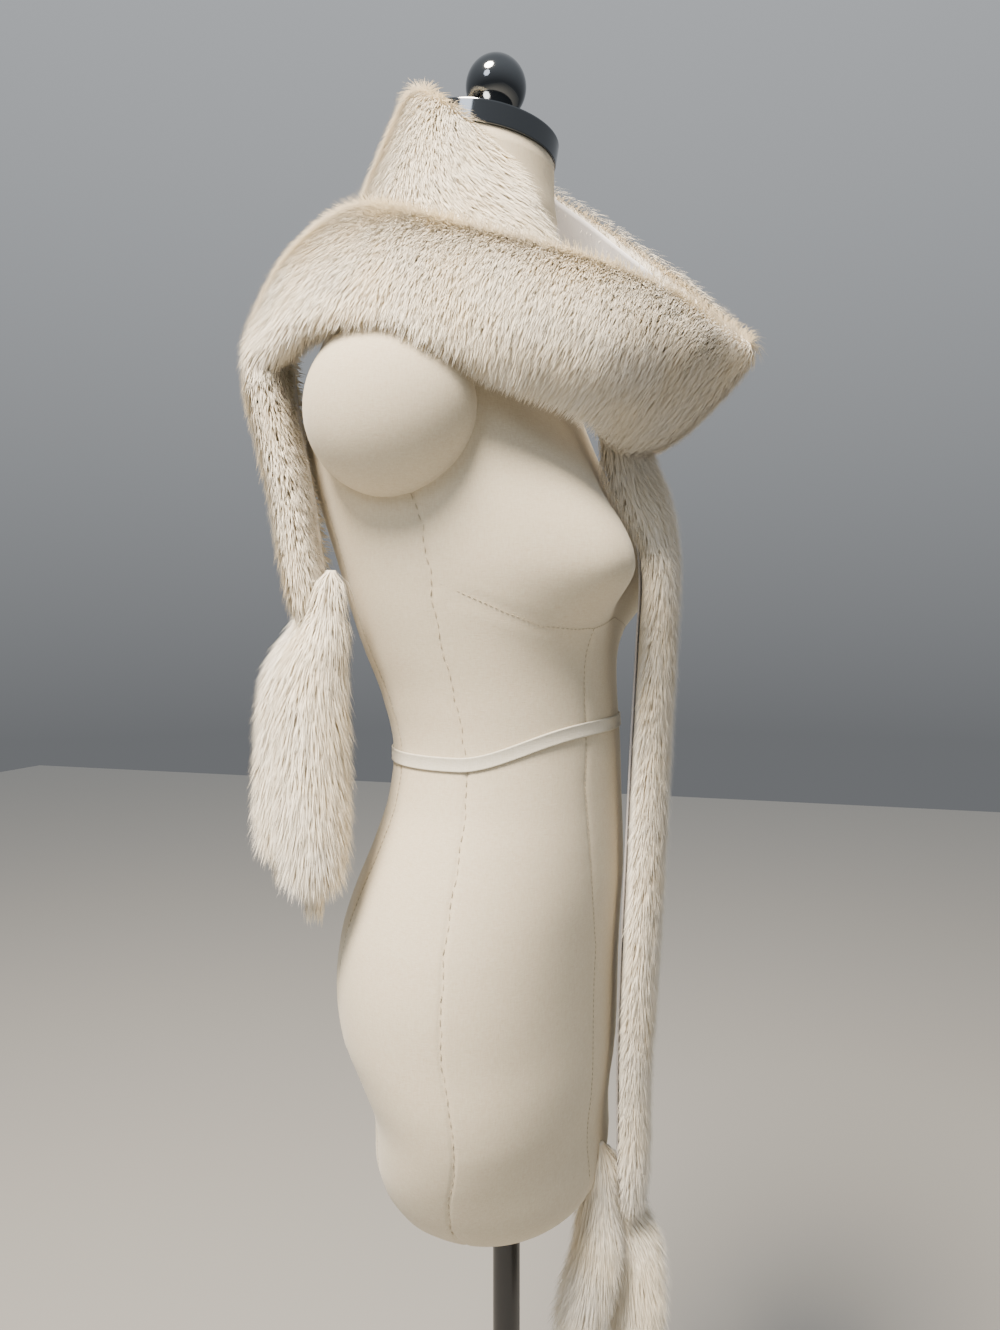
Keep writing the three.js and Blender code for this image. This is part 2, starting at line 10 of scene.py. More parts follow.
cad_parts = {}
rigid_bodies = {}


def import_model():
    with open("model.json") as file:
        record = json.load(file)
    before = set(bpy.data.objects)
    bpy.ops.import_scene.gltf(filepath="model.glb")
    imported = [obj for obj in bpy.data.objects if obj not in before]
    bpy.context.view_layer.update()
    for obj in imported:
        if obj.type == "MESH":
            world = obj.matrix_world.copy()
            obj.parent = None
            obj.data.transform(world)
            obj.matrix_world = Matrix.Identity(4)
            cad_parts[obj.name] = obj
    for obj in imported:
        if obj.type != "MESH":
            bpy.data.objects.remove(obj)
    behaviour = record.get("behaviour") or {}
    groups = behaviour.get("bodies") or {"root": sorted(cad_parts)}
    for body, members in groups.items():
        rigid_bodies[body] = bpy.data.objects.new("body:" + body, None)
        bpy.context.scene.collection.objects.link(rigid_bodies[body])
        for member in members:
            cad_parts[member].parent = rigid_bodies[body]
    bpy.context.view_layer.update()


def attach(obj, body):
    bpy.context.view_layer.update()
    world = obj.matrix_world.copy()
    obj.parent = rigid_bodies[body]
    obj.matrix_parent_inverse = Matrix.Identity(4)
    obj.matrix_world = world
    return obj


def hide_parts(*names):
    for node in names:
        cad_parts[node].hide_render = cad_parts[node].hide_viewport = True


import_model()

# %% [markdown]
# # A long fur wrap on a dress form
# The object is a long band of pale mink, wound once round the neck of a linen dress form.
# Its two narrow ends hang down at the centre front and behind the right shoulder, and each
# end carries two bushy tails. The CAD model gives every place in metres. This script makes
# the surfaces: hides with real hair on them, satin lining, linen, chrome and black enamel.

MM = 0.001

# %% [markdown]
# ## Small helpers
# A colour is given as an sRGB hex value, but shaders add up light, which needs linear
# values. One function converts them. A second one adds a node to any tree, sets its options
# and fills its inputs, whether an input takes a number or a link from another node.

# %% Colour and node helpers
def linear(hex_code):
    channels = [int(hex_code[i : i + 2], 16) / 255 for i in (1, 3, 5)]
    return (*[c / 12.92 if c <= 0.04045 else ((c + 0.055) / 1.055) ** 2.4 for c in channels], 1.0)


def add(tree, kind, settings=None, inputs=None):
    node = tree.nodes.new(kind)
    for name, value in (settings or {}).items():
        setattr(node, name, value)
    for key, value in (inputs or {}).items():
        socket = node.inputs[key]
        if isinstance(value, bpy.types.NodeSocket):
            tree.links.new(value, socket)
        else:
            socket.default_value = value
    return node


def material(name):
    made = bpy.data.materials.new(name)
    made.use_nodes = True
    made.node_tree.nodes.clear()
    return made, made.node_tree


def finish_material(tree, inputs):
    shader = add(tree, "ShaderNodeBsdfPrincipled", inputs=inputs)
    add(tree, "ShaderNodeOutputMaterial", inputs={"Surface": shader.outputs["BSDF"]})


# %% [markdown]
# ## The dress form's sizes
# The form is a stack of level sections. Each row gives the half width and the reach to the
# front and back, and how square the section is. Two soft hills make the bust. These are the
# same sizes as in the CAD model, so the linen sits exactly where the solid is.

# %% Form sizes
# columns: height, half width, reach to the front, reach to the back, squareness
FORM_LEVELS = np.array(
    [
        (696, 84, 59, 52, 2.1),
        (698, 98, 68, 64, 2.1),
        (704, 112, 75, 74, 2.1),
        (714, 125, 79, 82, 2.1),
        (728, 136, 80, 88, 2.1),
        (748, 146, 79, 91, 2.1),
        (768, 154, 80, 89, 2.1),
        (790, 160, 83, 89, 2.1),
        (815, 164, 85, 100, 2.1),
        (845, 165, 86, 116, 2.1),
        (880, 164, 87, 121, 2.1),
        (915, 158, 89, 118, 2.1),
        (945, 149, 91, 109, 2.1),
        (975, 138, 91, 97, 2.1),
        (1010, 125, 90, 86, 2.1),
        (1050, 118, 89, 83, 2.1),
        (1090, 121, 86, 92, 2.15),
        (1125, 128, 84, 105, 2.2),
        (1155, 134, 83, 114, 2.25),
        (1185, 138, 84, 122, 2.3),
        (1220, 140, 80, 133, 2.35),
        (1255, 141, 72, 144, 2.35),
        (1290, 143, 61, 147, 2.35),
        (1320, 145, 51, 140, 2.35),
        (1345, 144, 44, 128, 2.3),
        (1362, 135, 38, 118, 2.25),
        (1378, 121, 36, 107, 2.15),
        (1394, 103, 36, 97, 2.1),
        (1410, 84, 36, 88, 2.05),
        (1426, 69, 36, 81, 2.0),
        (1448, 60, 37, 76, 2.0),
    ]
)
BUST = {"x": 84, "z": 1183, "out": 42, "wide": 42, "above": 44, "below": 28}
NECK = {"top": 1513, "radius": 55, "backset": 18, "tilt": math.radians(10)}
CAP = {"x": 138, "y": 41, "z": 1286, "out": 47, "deep": 60, "tall": 60}
TAPE = {"z": 1044, "rise": 22, "reach": 88, "width": 10, "thick": 1.2}
print("form levels", len(FORM_LEVELS))

# %% [markdown]
# ## The wrap's sizes
# A cross section of the band is given by three points on its fur side: the upper edge, the
# middle and the lower edge, and by its thickness with the fur. Straight hanging ends need
# only a middle, a width and a thickness. Smooth curves through the rows give the shape.

# %% Wrap sizes
# columns: x, y, z, width, thickness
FRONT_STRIP = [
    (9, -109, 684, 16, 9),
    (9, -111, 688, 34, 15),
    (9, -112, 698, 46, 19),
    (8, -113, 722, 52, 22),
    (8, -114, 790, 54, 24),
    (7, -119, 870, 60, 27),
    (6, -124, 960, 62, 28),
    (6, -128, 1050, 63, 28),
    (6, -132, 1125, 64, 28),
    (6, -134, 1180, 65, 28),
]
BACK_STRIP = [
    (-122, 149, 1308, 62, 25),
    (-123, 142, 1272, 56, 24),
    (-124, 132, 1232, 53, 23),
    (-124, 125, 1192, 51, 22),
    (-124, 120, 1164, 46, 21),
    (-124, 117, 1150, 36, 17),
    (-124, 114, 1143, 16, 9),
]
# columns: upper edge, middle, lower edge, thickness, stretch that starts here
LOOP = [
    ((37, -130, 1230), (6, -131, 1224), (-26, -119, 1217), 27, ""),
    ((33, -119, 1270), (4, -116, 1262), (-33, -98, 1252), 25, ""),
    ((20, -102, 1308), (-10, -102, 1297), (-42, -95, 1284), 22, "neck_wrap"),
    ((-2, -89, 1346), (-30, -90, 1331), (-60, -82, 1314), 22, ""),
    ((-28, -75, 1384), (-54, -74, 1364), (-81, -64, 1342), 21, ""),
    ((-49, -59, 1418), (-72, -55, 1394), (-93, -44, 1368), 21, ""),
    ((-61, -43, 1448), (-80, -37, 1416), (-98, -26, 1384), 21, ""),
    ((-62, -26, 1476), (-82, -16, 1436), (-101, -6, 1397), 21, ""),
    ((-66, -5, 1501), (-85, 8, 1454), (-104, 16, 1408), 22, ""),
    ((-69, 20, 1526), (-88, 34, 1472), (-105, 42, 1418), 23, ""),
    ((-60, 46, 1547), (-80, 62, 1488), (-97, 76, 1428), 24, "back_neck"),
    ((-36, 67, 1562), (-51, 88, 1500), (-70, 106, 1438), 25, ""),
    ((0, 77, 1568), (-4, 106, 1504), (-14, 124, 1440), 25, ""),
    ((38, 70, 1563), (46, 98, 1500), (42, 121, 1436), 25, "left_band"),
    ((66, 46, 1551), (86, 74, 1490), (92, 100, 1428), 25, ""),
    ((84, 8, 1541), (114, 34, 1476), (134, 60, 1414), 25, ""),
    ((95, -34, 1517), (130, -18, 1452), (156, 4, 1392), 25, ""),
    ((92, -80, 1483), (124, -74, 1417), (146, -56, 1350), 25, ""),
    ((70, -126, 1441), (94, -124, 1378), (102, -100, 1306), 25, "cowl"),
    ((38, -168, 1392), (48, -158, 1336), (46, -116, 1276), 24, ""),
    ((2, -200, 1345), (-2, -166, 1306), (-12, -106, 1262), 24, ""),
    ((-28, -180, 1357), (-50, -160, 1327), (-48, -102, 1262), 25, ""),
    ((-52, -150, 1377), (-86, -136, 1324), (-80, -92, 1266), 26, ""),
    ((-76, -114, 1390), (-116, -110, 1322), (-104, -80, 1272), 26, "right_band"),
    ((-92, -80, 1400), (-134, -82, 1330), (-124, -64, 1280), 26, ""),
    ((-102, -46, 1409), (-146, -54, 1344), (-142, -48, 1289), 26, ""),
    ((-106, -10, 1420), (-152, -26, 1360), (-160, -30, 1303), 26, ""),
    ((-105, 22, 1431), (-156, 4, 1376), (-177, -6, 1315), 26, ""),
    ((-99, 52, 1443), (-154, 34, 1393), (-184, 20, 1330), 26, ""),
    ((-89, 86, 1452), (-144, 74, 1406), (-184, 56, 1340), 26, ""),
    ((-82, 120, 1441), (-132, 111, 1405), (-176, 92, 1343), 26, ""),
    ((-80, 149, 1413), (-122, 142, 1385), (-168, 120, 1334), 26, "back_strip"),
    ((-84, 158, 1366), (-121, 157, 1350), (-160, 140, 1326), 26, ""),
]
# columns: end that it hangs from, radius with the hair, path
TAILS = {
    "tail_front_right": (
        "front",
        18,
        [(-11, -78.9, 738), (-12, -78.1, 700), (-18, -77, 655), (-18, -60, 580)],
    ),
    "tail_front_left": (
        "front",
        22,
        [(14, -79.1, 722), (17, -80.5, 692), (21, -99, 648), (20, -103, 552)],
    ),
    "tail_back_right": (
        "back",
        25,
        [(-134, 87.2, 1178), (-137, 90, 1144), (-140, 99, 1090), (-139, 99, 934)],
    ),
    "tail_back_left": (
        "back",
        23,
        [(-94, 112, 1172), (-88.5, 127, 1140), (-91, 142, 1090), (-95, 149, 946)],
    ),
}
TAIL_FULLNESS = {
    "front": [0.36, 0.5, 0.68, 0.82, 0.91, 0.97, 1, 1, 0.97, 0.88, 0.68, 0.3],
    "back": [0.36, 0.54, 0.78, 0.92, 0.98, 1, 1, 1, 0.98, 0.9, 0.7, 0.32],
}


CROWN = 0.12


def strip_section(row, facing, starts=""):
    x, y, z, width, thick = row
    crown = CROWN * thick * facing
    return ((x + width / 2, y, z), (x, y + crown, z), (x - width / 2, y, z), thick, starts)


SECTIONS = (
    [strip_section(row, -1, "front_strip" if i == 0 else "") for i, row in enumerate(FRONT_STRIP)]
    + LOOP
    + [strip_section(row, 1) for row in BACK_STRIP]
)
TOP, MID, LOW = (np.array([row[k] for row in SECTIONS], float) for k in range(3))
THICK = np.array([row[3] for row in SECTIONS], float)
starts = [(row[4], i) for i, row in enumerate(SECTIONS) if row[4]]
ends = [i for _, i in starts[1:]] + [len(SECTIONS) - 1]
STRETCHES = {name: (first, last) for (name, first), last in zip(starts, ends)}
print("stretches", STRETCHES)

# %% [markdown]
# ## Curves and surfaces
# A spline through the rows gives the band at any place along it, and a curve through the
# three points gives it at any share of the width. The hair side and the flesh side are then
# steps along the surface normal.

# %% Band surface
def spline(values, at):
    """Smooth value between table rows; values has one row for each place."""
    at = np.asarray(at, float)
    last = len(values) - 1
    i = np.clip(np.floor(at).astype(int), 0, last - 1)
    t = (at - i).reshape(at.shape + (1,) * (np.ndim(values) - 1))
    p0, p1 = values[np.maximum(i - 1, 0)], values[i]
    p2, p3 = values[i + 1], values[np.minimum(i + 2, last)]
    square = 2 * p0 - 5 * p1 + 4 * p2 - p3
    cube = 3 * p1 - p0 - 3 * p2 + p3
    return 0.5 * (2 * p1 + (p2 - p0) * t + square * t**2 + cube * t**3)


def unit(v):
    return v / np.maximum(np.linalg.norm(v, axis=-1, keepdims=True), 1e-9)


def fur_point(along, across):
    top, mid, low = (spline(edge, along) for edge in (TOP, MID, LOW))
    first = np.linalg.norm(top - mid, axis=-1)
    knee = first / (first + np.linalg.norm(mid - low, axis=-1))
    share_top = (across - knee) * (across - 1) / knee
    share_mid = across * (across - 1) / (knee * (knee - 1))
    share_low = across * (across - knee) / (1 - knee)
    return top * share_top[..., None] + mid * share_mid[..., None] + low * share_low[..., None]


def fur_normal(along, across, step=0.02):
    last = len(SECTIONS) - 1
    ahead = fur_point(np.minimum(along + step, last), across)
    behind = fur_point(np.maximum(along - step, 0), across)
    up = fur_point(along, np.maximum(across - step, 0))
    down = fur_point(along, np.minimum(across + step, 1))
    return unit(np.cross(up - down, ahead - behind))


def below_fur(along, across, depth):
    return fur_point(along, across) - fur_normal(along, across) * depth[..., None]


# %% [markdown]
# ## Meshes from rings
# Most pieces here are rings of points joined into a closed skin. One helper makes the mesh,
# with a UV map in metres so that a weave keeps its real scale. Another one puts it on the
# frame's body, in place of its CAD node.

# %% Mesh helpers
def ring_faces(count, sides, closed):
    r, k = np.meshgrid(np.arange(count - 1), np.arange(sides if closed else sides - 1), indexing="ij")
    a = r * sides + k
    b = r * sides + (k + 1) % sides
    return np.stack([a, b, b + sides, a + sides], -1).reshape(-1, 4).tolist()


def ring_uv(rings):
    around = np.concatenate([rings, rings[:, :1]], 1)
    wide = np.linalg.norm(np.diff(around, axis=1), axis=-1).mean(0)
    long = np.linalg.norm(np.diff(rings, axis=0), axis=-1).mean(1)
    return np.concatenate([[0], np.cumsum(wide)]), np.concatenate([[0], np.cumsum(long)])


def make_mesh(name, points_mm, faces):
    mesh = bpy.data.meshes.new(name)
    mesh.from_pydata((np.asarray(points_mm) * MM).tolist(), [], faces)
    mesh.validate()
    return mesh


def outward(mesh):
    """Faces of a closed skin turned to point out."""
    work = bmesh.new()
    work.from_mesh(mesh)
    if work.calc_volume(signed=True) < 0:
        bmesh.ops.reverse_faces(work, faces=work.faces)
    work.to_mesh(mesh)
    work.free()


def ring_mesh(name, rings):
    """A closed skin through rings of points (mm), with its UV map in metres."""
    count, sides, _ = rings.shape
    faces = ring_faces(count, sides, True)
    walls = len(faces)
    points = rings.reshape(-1, 3)
    first, last = len(points), len(points) + 1
    points = np.concatenate([points, [rings[0].mean(0), rings[-1].mean(0)]])
    end = (count - 1) * sides
    faces += [[(k + 1) % sides, k, first] for k in range(sides)]
    faces += [[end + k, end + (k + 1) % sides, last] for k in range(sides)]
    mesh = make_mesh(name, points, faces)
    u, v = ring_uv(rings)
    layer = mesh.uv_layers.new(name="cloth")
    values = np.zeros((len(mesh.loops), 2))
    for cell, polygon in enumerate(mesh.polygons[:walls]):
        r, k = divmod(cell, sides)
        corners = [(u[k], v[r]), (u[k + 1], v[r]), (u[k + 1], v[r + 1]), (u[k], v[r + 1])]
        values[list(polygon.loop_indices)] = corners
    layer.data.foreach_set("uv", (values * MM).ravel())
    outward(mesh)
    return mesh


def piece(name, mesh, finish, node):
    """A mesh on the frame's body, in place of a node of the CAD model."""
    obj = bpy.data.objects.new(name, mesh)
    bpy.context.scene.collection.objects.link(obj)
    mesh.materials.clear()
    mesh.materials.append(finish)
    mesh.shade_smooth()
    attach(obj, "root")
    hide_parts(node)
    return obj


def node_tree_of(node):
    """The CAD solid as a search tree in millimetres, to keep soft pieces clear of it."""
    points, faces = [], []
    for obj in bpy.data.objects:
        if obj.type == "MESH" and obj.name.split(".")[0] == node:
            start = len(points)
            points += [Vector(v.co) / MM for v in obj.data.vertices]
            faces += [[start + i for i in p.vertices] for p in obj.data.polygons]
    return BVHTree.FromPolygons(points, faces)


RAY = Vector((0.31, 0.22, 0.925)).normalized()
MOST_HITS = 20
SEARCH = 60


def inside(tree, p):
    """Whether a point lies in a closed shape: a ray from it leaves an odd number of times."""
    hits = 0
    spot = tree.ray_cast(p, RAY)[0]
    while spot is not None and hits < MOST_HITS:
        hits += 1
        spot = tree.ray_cast(spot + RAY * 1e-3, RAY)[0]
    return hits % 2 == 1


def seat(points, obstacles, margin):
    """Points that are in or near an obstacle are moved out to its surface."""
    moved = 0
    flat = points.reshape(-1, 3)
    for tree in obstacles:
        for i, p in enumerate(flat):
            p = Vector(p)
            spot, normal, _, far = tree.find_nearest(p, SEARCH)
            if spot is not None and (far < margin or inside(tree, p)):
                flat[i] = spot + normal * margin
                moved += 1
    return moved


# %% [markdown]
# ## Mink
# Mink is a dense short fur: a soft under-coat with glossy guard hairs that all lie one way.
# Light passes from hair to hair, so the coat looks soft and pale, and its roots are hardly
# darker than its tips. Each hair carries its tone and how far along it a point is, and the
# colour is worked out from those, with a slow drift from warm to cool over the whole pelt.

# %% Fur materials
def fur_material(name, root, tip, warm, cool):
    made, tree = material(name)
    along = add(tree, "ShaderNodeAttribute", {"attribute_name": "tip"}).outputs["Fac"]
    tone = add(tree, "ShaderNodeAttribute", {"attribute_name": "tone"}).outputs["Fac"]
    place = add(tree, "ShaderNodeTexCoord").outputs["Object"]
    drift = add(tree, "ShaderNodeTexNoise", inputs={"Vector": place, "Scale": 22.0, "Detail": 2.0})
    ends = {0: along, 6: linear(root), 7: linear(tip)}
    length = add(tree, "ShaderNodeMix", {"data_type": "RGBA"}, ends)
    casts = {0: drift.outputs["Fac"], 6: linear(warm), 7: linear(cool)}
    cast = add(tree, "ShaderNodeMix", {"data_type": "RGBA"}, casts)
    tinted = add(
        tree,
        "ShaderNodeMix",
        {"data_type": "RGBA", "blend_type": "MULTIPLY"},
        {0: 1.0, 6: length.outputs[2], 7: cast.outputs[2]},
    )
    shade = add(tree, "ShaderNodeMapRange", inputs={0: tone, 3: 0.93, 4: 1.05})
    colour = add(
        tree,
        "ShaderNodeVectorMath",
        {"operation": "SCALE"},
        {0: tinted.outputs[2], "Scale": shade.outputs[0]},
    )
    finish_material(
        tree,
        {
            "Base Color": colour.outputs[0],
            "Roughness": 0.6,
            "Specular IOR Level": 0.2,
            "Sheen Weight": 0.4,
            "Sheen Roughness": 0.5,
        },
    )
    return made


mink_hair = fur_material("mink_guard_hair", "#f6f0e2", "#fffef8", "#fff4dc", "#fbfbfd")

mink_hide, tree = material("mink_under_coat")
place = add(tree, "ShaderNodeTexCoord").outputs["Object"]
fluff = add(tree, "ShaderNodeTexNoise", inputs={"Vector": place, "Scale": 700.0, "Detail": 3.0})
fluff = fluff.outputs["Fac"]
tones = {0: fluff, 6: linear("#e6e0d3"), 7: linear("#f2ede2")}
shade = add(tree, "ShaderNodeMix", {"data_type": "RGBA"}, tones)
nubs = add(tree, "ShaderNodeBump", inputs={"Strength": 0.6, "Distance": 0.001, "Height": fluff})
finish_material(
    tree,
    {
        "Base Color": shade.outputs[2],
        "Roughness": 0.9,
        "Sheen Weight": 0.3,
        "Normal": nubs.outputs["Normal"],
    },
)
print("fur materials made")

# %% [markdown]
# ## Node trees that make geometry
# A tree has named inputs with the values it is meant for. It scatters copies of one small
# shape and ends by realising them, so that what it leaves is a plain mesh with a finish.

# %% Geometry tree helpers
def group_tree(name, inputs):
    """An empty tree with named inputs, and the sockets that bring them in."""
    tree = bpy.data.node_groups.new(name, "GeometryNodeTree")
    tree.interface.new_socket("Geometry", in_out="INPUT", socket_type="NodeSocketGeometry")
    for label, (kind, value) in inputs.items():
        socket = tree.interface.new_socket(label, in_out="INPUT", socket_type=kind)
        if value is not None:
            socket.default_value = value
    tree.interface.new_socket("Geometry", in_out="OUTPUT", socket_type="NodeSocketGeometry")
    return tree, add(tree, "NodeGroupInput").outputs


def finish_group(tree, copies, finish):
    real = add(tree, "GeometryNodeRealizeInstances", inputs={"Geometry": copies}).outputs[0]
    done = add(tree, "GeometryNodeSetMaterial", inputs={"Geometry": real, "Material": finish})
    add(tree, "NodeGroupOutput", inputs={0: done.outputs[0]})
    return tree


def run_tree(name, mesh, group, values):
    """An object that holds the plain mesh which a tree makes of the given one."""
    holder = bpy.data.objects.new(name, mesh)
    bpy.context.scene.collection.objects.link(holder)
    modifier = holder.modifiers.new("nodes", "NODES")
    modifier.node_group = group
    for item in group.interface.items_tree:
        if item.in_out == "INPUT" and item.name in values:
            modifier[item.identifier] = values[item.name]
    graph = bpy.context.evaluated_depsgraph_get()
    made = bpy.data.meshes.new_from_object(holder.evaluated_get(graph), depsgraph=graph)
    holder.modifiers.clear()
    holder.data = made
    return holder


# %% [markdown]
# ## One hair, and a coat of them
# A hair is three narrow faces: it leaves the skin at a slant and bends over to lie along the
# nap. The coat's tree scatters copies over the hide, turns each along the nap that the hide
# carries, and bends whole groups a little together, as real fur falls in locks.

# %% The hair and the coat's node tree
def hair_blade():
    w = 0.5
    points = [(-w, 0, 0), (w, 0, 0), (w * 0.8, 0.5, 0.2), (-w * 0.8, 0.5, 0.2), (0, 1, 0.16)]
    mesh = bpy.data.meshes.new("hair_blade")
    mesh.from_pydata(points, [], [(0, 1, 2), (0, 2, 3), (3, 2, 4)])
    tip = mesh.attributes.new("tip", "FLOAT", "POINT")
    tip.data.foreach_set("value", [p[1] for p in points])
    return bpy.data.objects.new("hair_blade", mesh)


# what a hide carries at each point: the way its hair lies, the way out of the skin, how
# densely hair stands there and how long it is
CARRIED = {"nap": "FLOAT_VECTOR", "skin": "FLOAT_VECTOR", "cover": "FLOAT", "reach": "FLOAT"}
COAT_INPUTS = {
    "Hair": ("NodeSocketObject", None),
    "Density": ("NodeSocketFloat", 900000.0),
    "Length": ("NodeSocketFloat", 0.017),
    "Width": ("NodeSocketFloat", 0.0008),
    "Lift": ("NodeSocketFloat", 0.36),
    "Lock Size": ("NodeSocketFloat", 0.02),
    "Lock Sway": ("NodeSocketFloat", 0.12),
    "Stray": ("NodeSocketFloat", 0.15),
    "Roll": ("NodeSocketFloat", 0.14),
    "Seed": ("NodeSocketInt", 3),
    "Finish": ("NodeSocketMaterial", None),
}


def coat_tree():
    tree, given = group_tree("fur_coat", COAT_INPUTS)
    nap, skin, cover, reach = (
        add(tree, "GeometryNodeInputNamedAttribute", {"data_type": kind}, {"Name": name}).outputs[0]
        for name, kind in CARRIED.items()
    )
    times = {"operation": "MULTIPLY"}
    amount = add(tree, "ShaderNodeMath", times, {0: given["Density"], 1: cover})
    roots = add(
        tree,
        "GeometryNodeDistributePointsOnFaces",
        inputs={"Mesh": given["Geometry"], "Density": amount.outputs[0], "Seed": given["Seed"]},
    )

    # a hair leans along the nap, swayed with its lock, strayed by itself and lifted off the skin
    where = add(tree, "GeometryNodeInputPosition").outputs[0]
    finer = add(tree, "ShaderNodeMath", {"operation": "DIVIDE"}, {0: 1.0, 1: given["Lock Size"]})
    locks = add(
        tree,
        "ShaderNodeTexNoise",
        {"noise_dimensions": "3D"},
        {"Vector": where, "Scale": finer.outputs[0], "Detail": 1.0},
    )
    centred = add(
        tree,
        "ShaderNodeVectorMath",
        {"operation": "SUBTRACT"},
        {0: locks.outputs["Color"], 1: (0.5, 0.5, 0.5)},
    )
    stray = add(
        tree,
        "FunctionNodeRandomValue",
        {"data_type": "FLOAT_VECTOR"},
        {0: (-1, -1, -1), 1: (1, 1, 1), "Seed": 11},
    )
    sway, strays, rise, roll = (
        add(tree, "ShaderNodeVectorMath", {"operation": "SCALE"}, {0: way, "Scale": given[share]})
        for way, share in (
            (centred.outputs[0], "Lock Sway"),
            (stray.outputs[0], "Stray"),
            (skin, "Lift"),
            (stray.outputs[0], "Roll"),
        )
    )
    lean = nap
    for part in (sway, strays, rise):
        both = {0: lean, 1: part.outputs[0]}
        lean = add(tree, "ShaderNodeVectorMath", {"operation": "ADD"}, both).outputs[0]
    face = add(tree, "ShaderNodeVectorMath", {"operation": "ADD"}, {0: skin, 1: roll.outputs[0]})
    turn = add(
        tree,
        "FunctionNodeAxesToRotation",
        {"primary_axis": "Y", "secondary_axis": "Z"},
        {0: lean, 1: face.outputs[0]},
    )

    # hairs differ in length and in tone
    vary = add(tree, "FunctionNodeRandomValue", {"data_type": "FLOAT"}, {2: 0.7, 3: 1.15, "Seed": 5})
    long = add(tree, "ShaderNodeMath", times, {0: given["Length"], 1: vary.outputs[1]})
    long = add(tree, "ShaderNodeMath", times, {0: long.outputs[0], 1: reach}).outputs[0]
    size = add(tree, "ShaderNodeCombineXYZ", inputs={"X": given["Width"], "Y": long, "Z": long})
    tone = add(tree, "FunctionNodeRandomValue", {"data_type": "FLOAT"}, {2: 0.0, 3: 1.0, "Seed": 2})
    toned = add(
        tree,
        "GeometryNodeStoreNamedAttribute",
        {"data_type": "FLOAT", "domain": "POINT"},
        {"Geometry": roots.outputs["Points"], "Name": "tone", "Value": tone.outputs[1]},
    )
    hair = add(tree, "GeometryNodeObjectInfo", inputs={"Object": given["Hair"]})
    coat = add(
        tree,
        "GeometryNodeInstanceOnPoints",
        inputs={
            "Points": toned.outputs[0],
            "Instance": hair.outputs["Geometry"],
            "Rotation": turn.outputs[0],
            "Scale": size.outputs[0],
        },
    )
    return finish_group(tree, coat.outputs[0], given["Finish"])


blade = hair_blade()
fur_coat = coat_tree()
print("coat tree", len(fur_coat.nodes), "nodes")


# %% Growing a coat on a hide
def hair_ground(name, points, closed, carried):
    """The surface that hair grows on, with what the tree reads from it."""
    mesh = make_mesh(name, points.reshape(-1, 3), ring_faces(*points.shape[:2], closed))
    for label, kind in CARRIED.items():
        layer = mesh.attributes.new(label, kind, "POINT")
        key = "vector" if kind == "FLOAT_VECTOR" else "value"
        values = np.ascontiguousarray(carried[label], dtype=np.float32)
        layer.data.foreach_set(key, values.ravel())
    return mesh


def grow_coat(name, ground, hairs, **sizes):
    """The given number of hairs, more or less, on the ground, as a piece of their own."""
    cover = np.zeros(len(ground.vertices), dtype=np.float32)
    ground.attributes["cover"].data.foreach_get("value", cover)
    area = sum(p.area * np.mean(cover[list(p.vertices)]) for p in ground.polygons)
    values = {"Hair": blade, "Density": hairs / area, "Finish": mink_hair, **sizes}
    holder = run_tree(name, ground, fur_coat, values)
    mesh = holder.data
    for label in [a.name for a in mesh.attributes if a.name in CARRIED]:
        mesh.attributes.remove(mesh.attributes[label])
    mesh.name = name
    mesh.shade_smooth()
    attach(holder, "root")
    print(name, "hairs", len(mesh.polygons) // 3, "area cm2", round(area * 1e4))
    return holder


# %% [markdown]
# ## The hides
# Each stretch of the band is a hide, a soft wall whose hair stands over it. The CAD solid
# holds hide and hair together, so the hide here is drawn in from the fur side and from the
# edges by the room that the hair needs. Which way the hair lies changes along the band: with
# the band on the hanging ends and beside the neck, and down across it elsewhere. Hair also
# grows over the upper edge from the flesh side, so no bare edge shows.

# %% Hide sizes
STEP = 0.1
ACROSS = 25
HAIR_RISE = 8.0
HIDE_LEAST = 3.0
UPPER_EDGE = 3.5
# columns: along, with the band, down across it, out to its edges, upper inset, lower inset
NAP = np.array(
    [
        (0, -1.0, 0.0, 0.5, 5, 5),
        (10, -1.0, 0.0, 0.4, 5, 5),
        (13, -1.0, 0.0, 0.5, 4, 7),
        (17, -1.0, 0.0, 0.6, 3, 9),
        (18.5, -0.6, 0.5, 0.3, 4, 9),
        (20, -0.1, 1.0, 0.0, 6, 11),
        (28, 0.1, 1.0, 0.0, 6, 11),
        (33, 0.2, 1.0, 0.0, 6, 12),
        (38, 0.25, 1.0, 0.0, 6, 12),
        (40, 0.6, 0.8, 0.1, 6, 4),
        (42, 1.0, 0.3, 0.4, 5, 3),
        (44, 1.0, 0.0, 0.5, 4, 3),
        (49, 1.0, 0.0, 0.5, 4, 4),
    ]
)
HAIRS = {
    "front_strip": 34000,
    "neck_wrap": 17000,
    "back_neck": 17000,
    "left_band": 27000,
    "cowl": 32000,
    "right_band": 54000,
    "back_strip": 22000,
}
RESTS = {
    "front_strip": ("form_torso",),
    "neck_wrap": ("form_torso", "neck_plate"),
    "back_neck": ("form_torso", "neck_plate"),
    "left_band": ("form_torso", "neck_plate", "shoulder_cap_left"),
    "cowl": ("form_torso",),
    "right_band": ("form_torso", "shoulder_cap_right"),
    "back_strip": ("form_torso", "shoulder_cap_right"),
}
LIES_UNDER = {"front_strip": ("cowl",), "neck_wrap": ("cowl", "right_band"), "back_neck": ("right_band",)}
solids = {node: node_tree_of(node) for node in {n for names in RESTS.values() for n in names}}
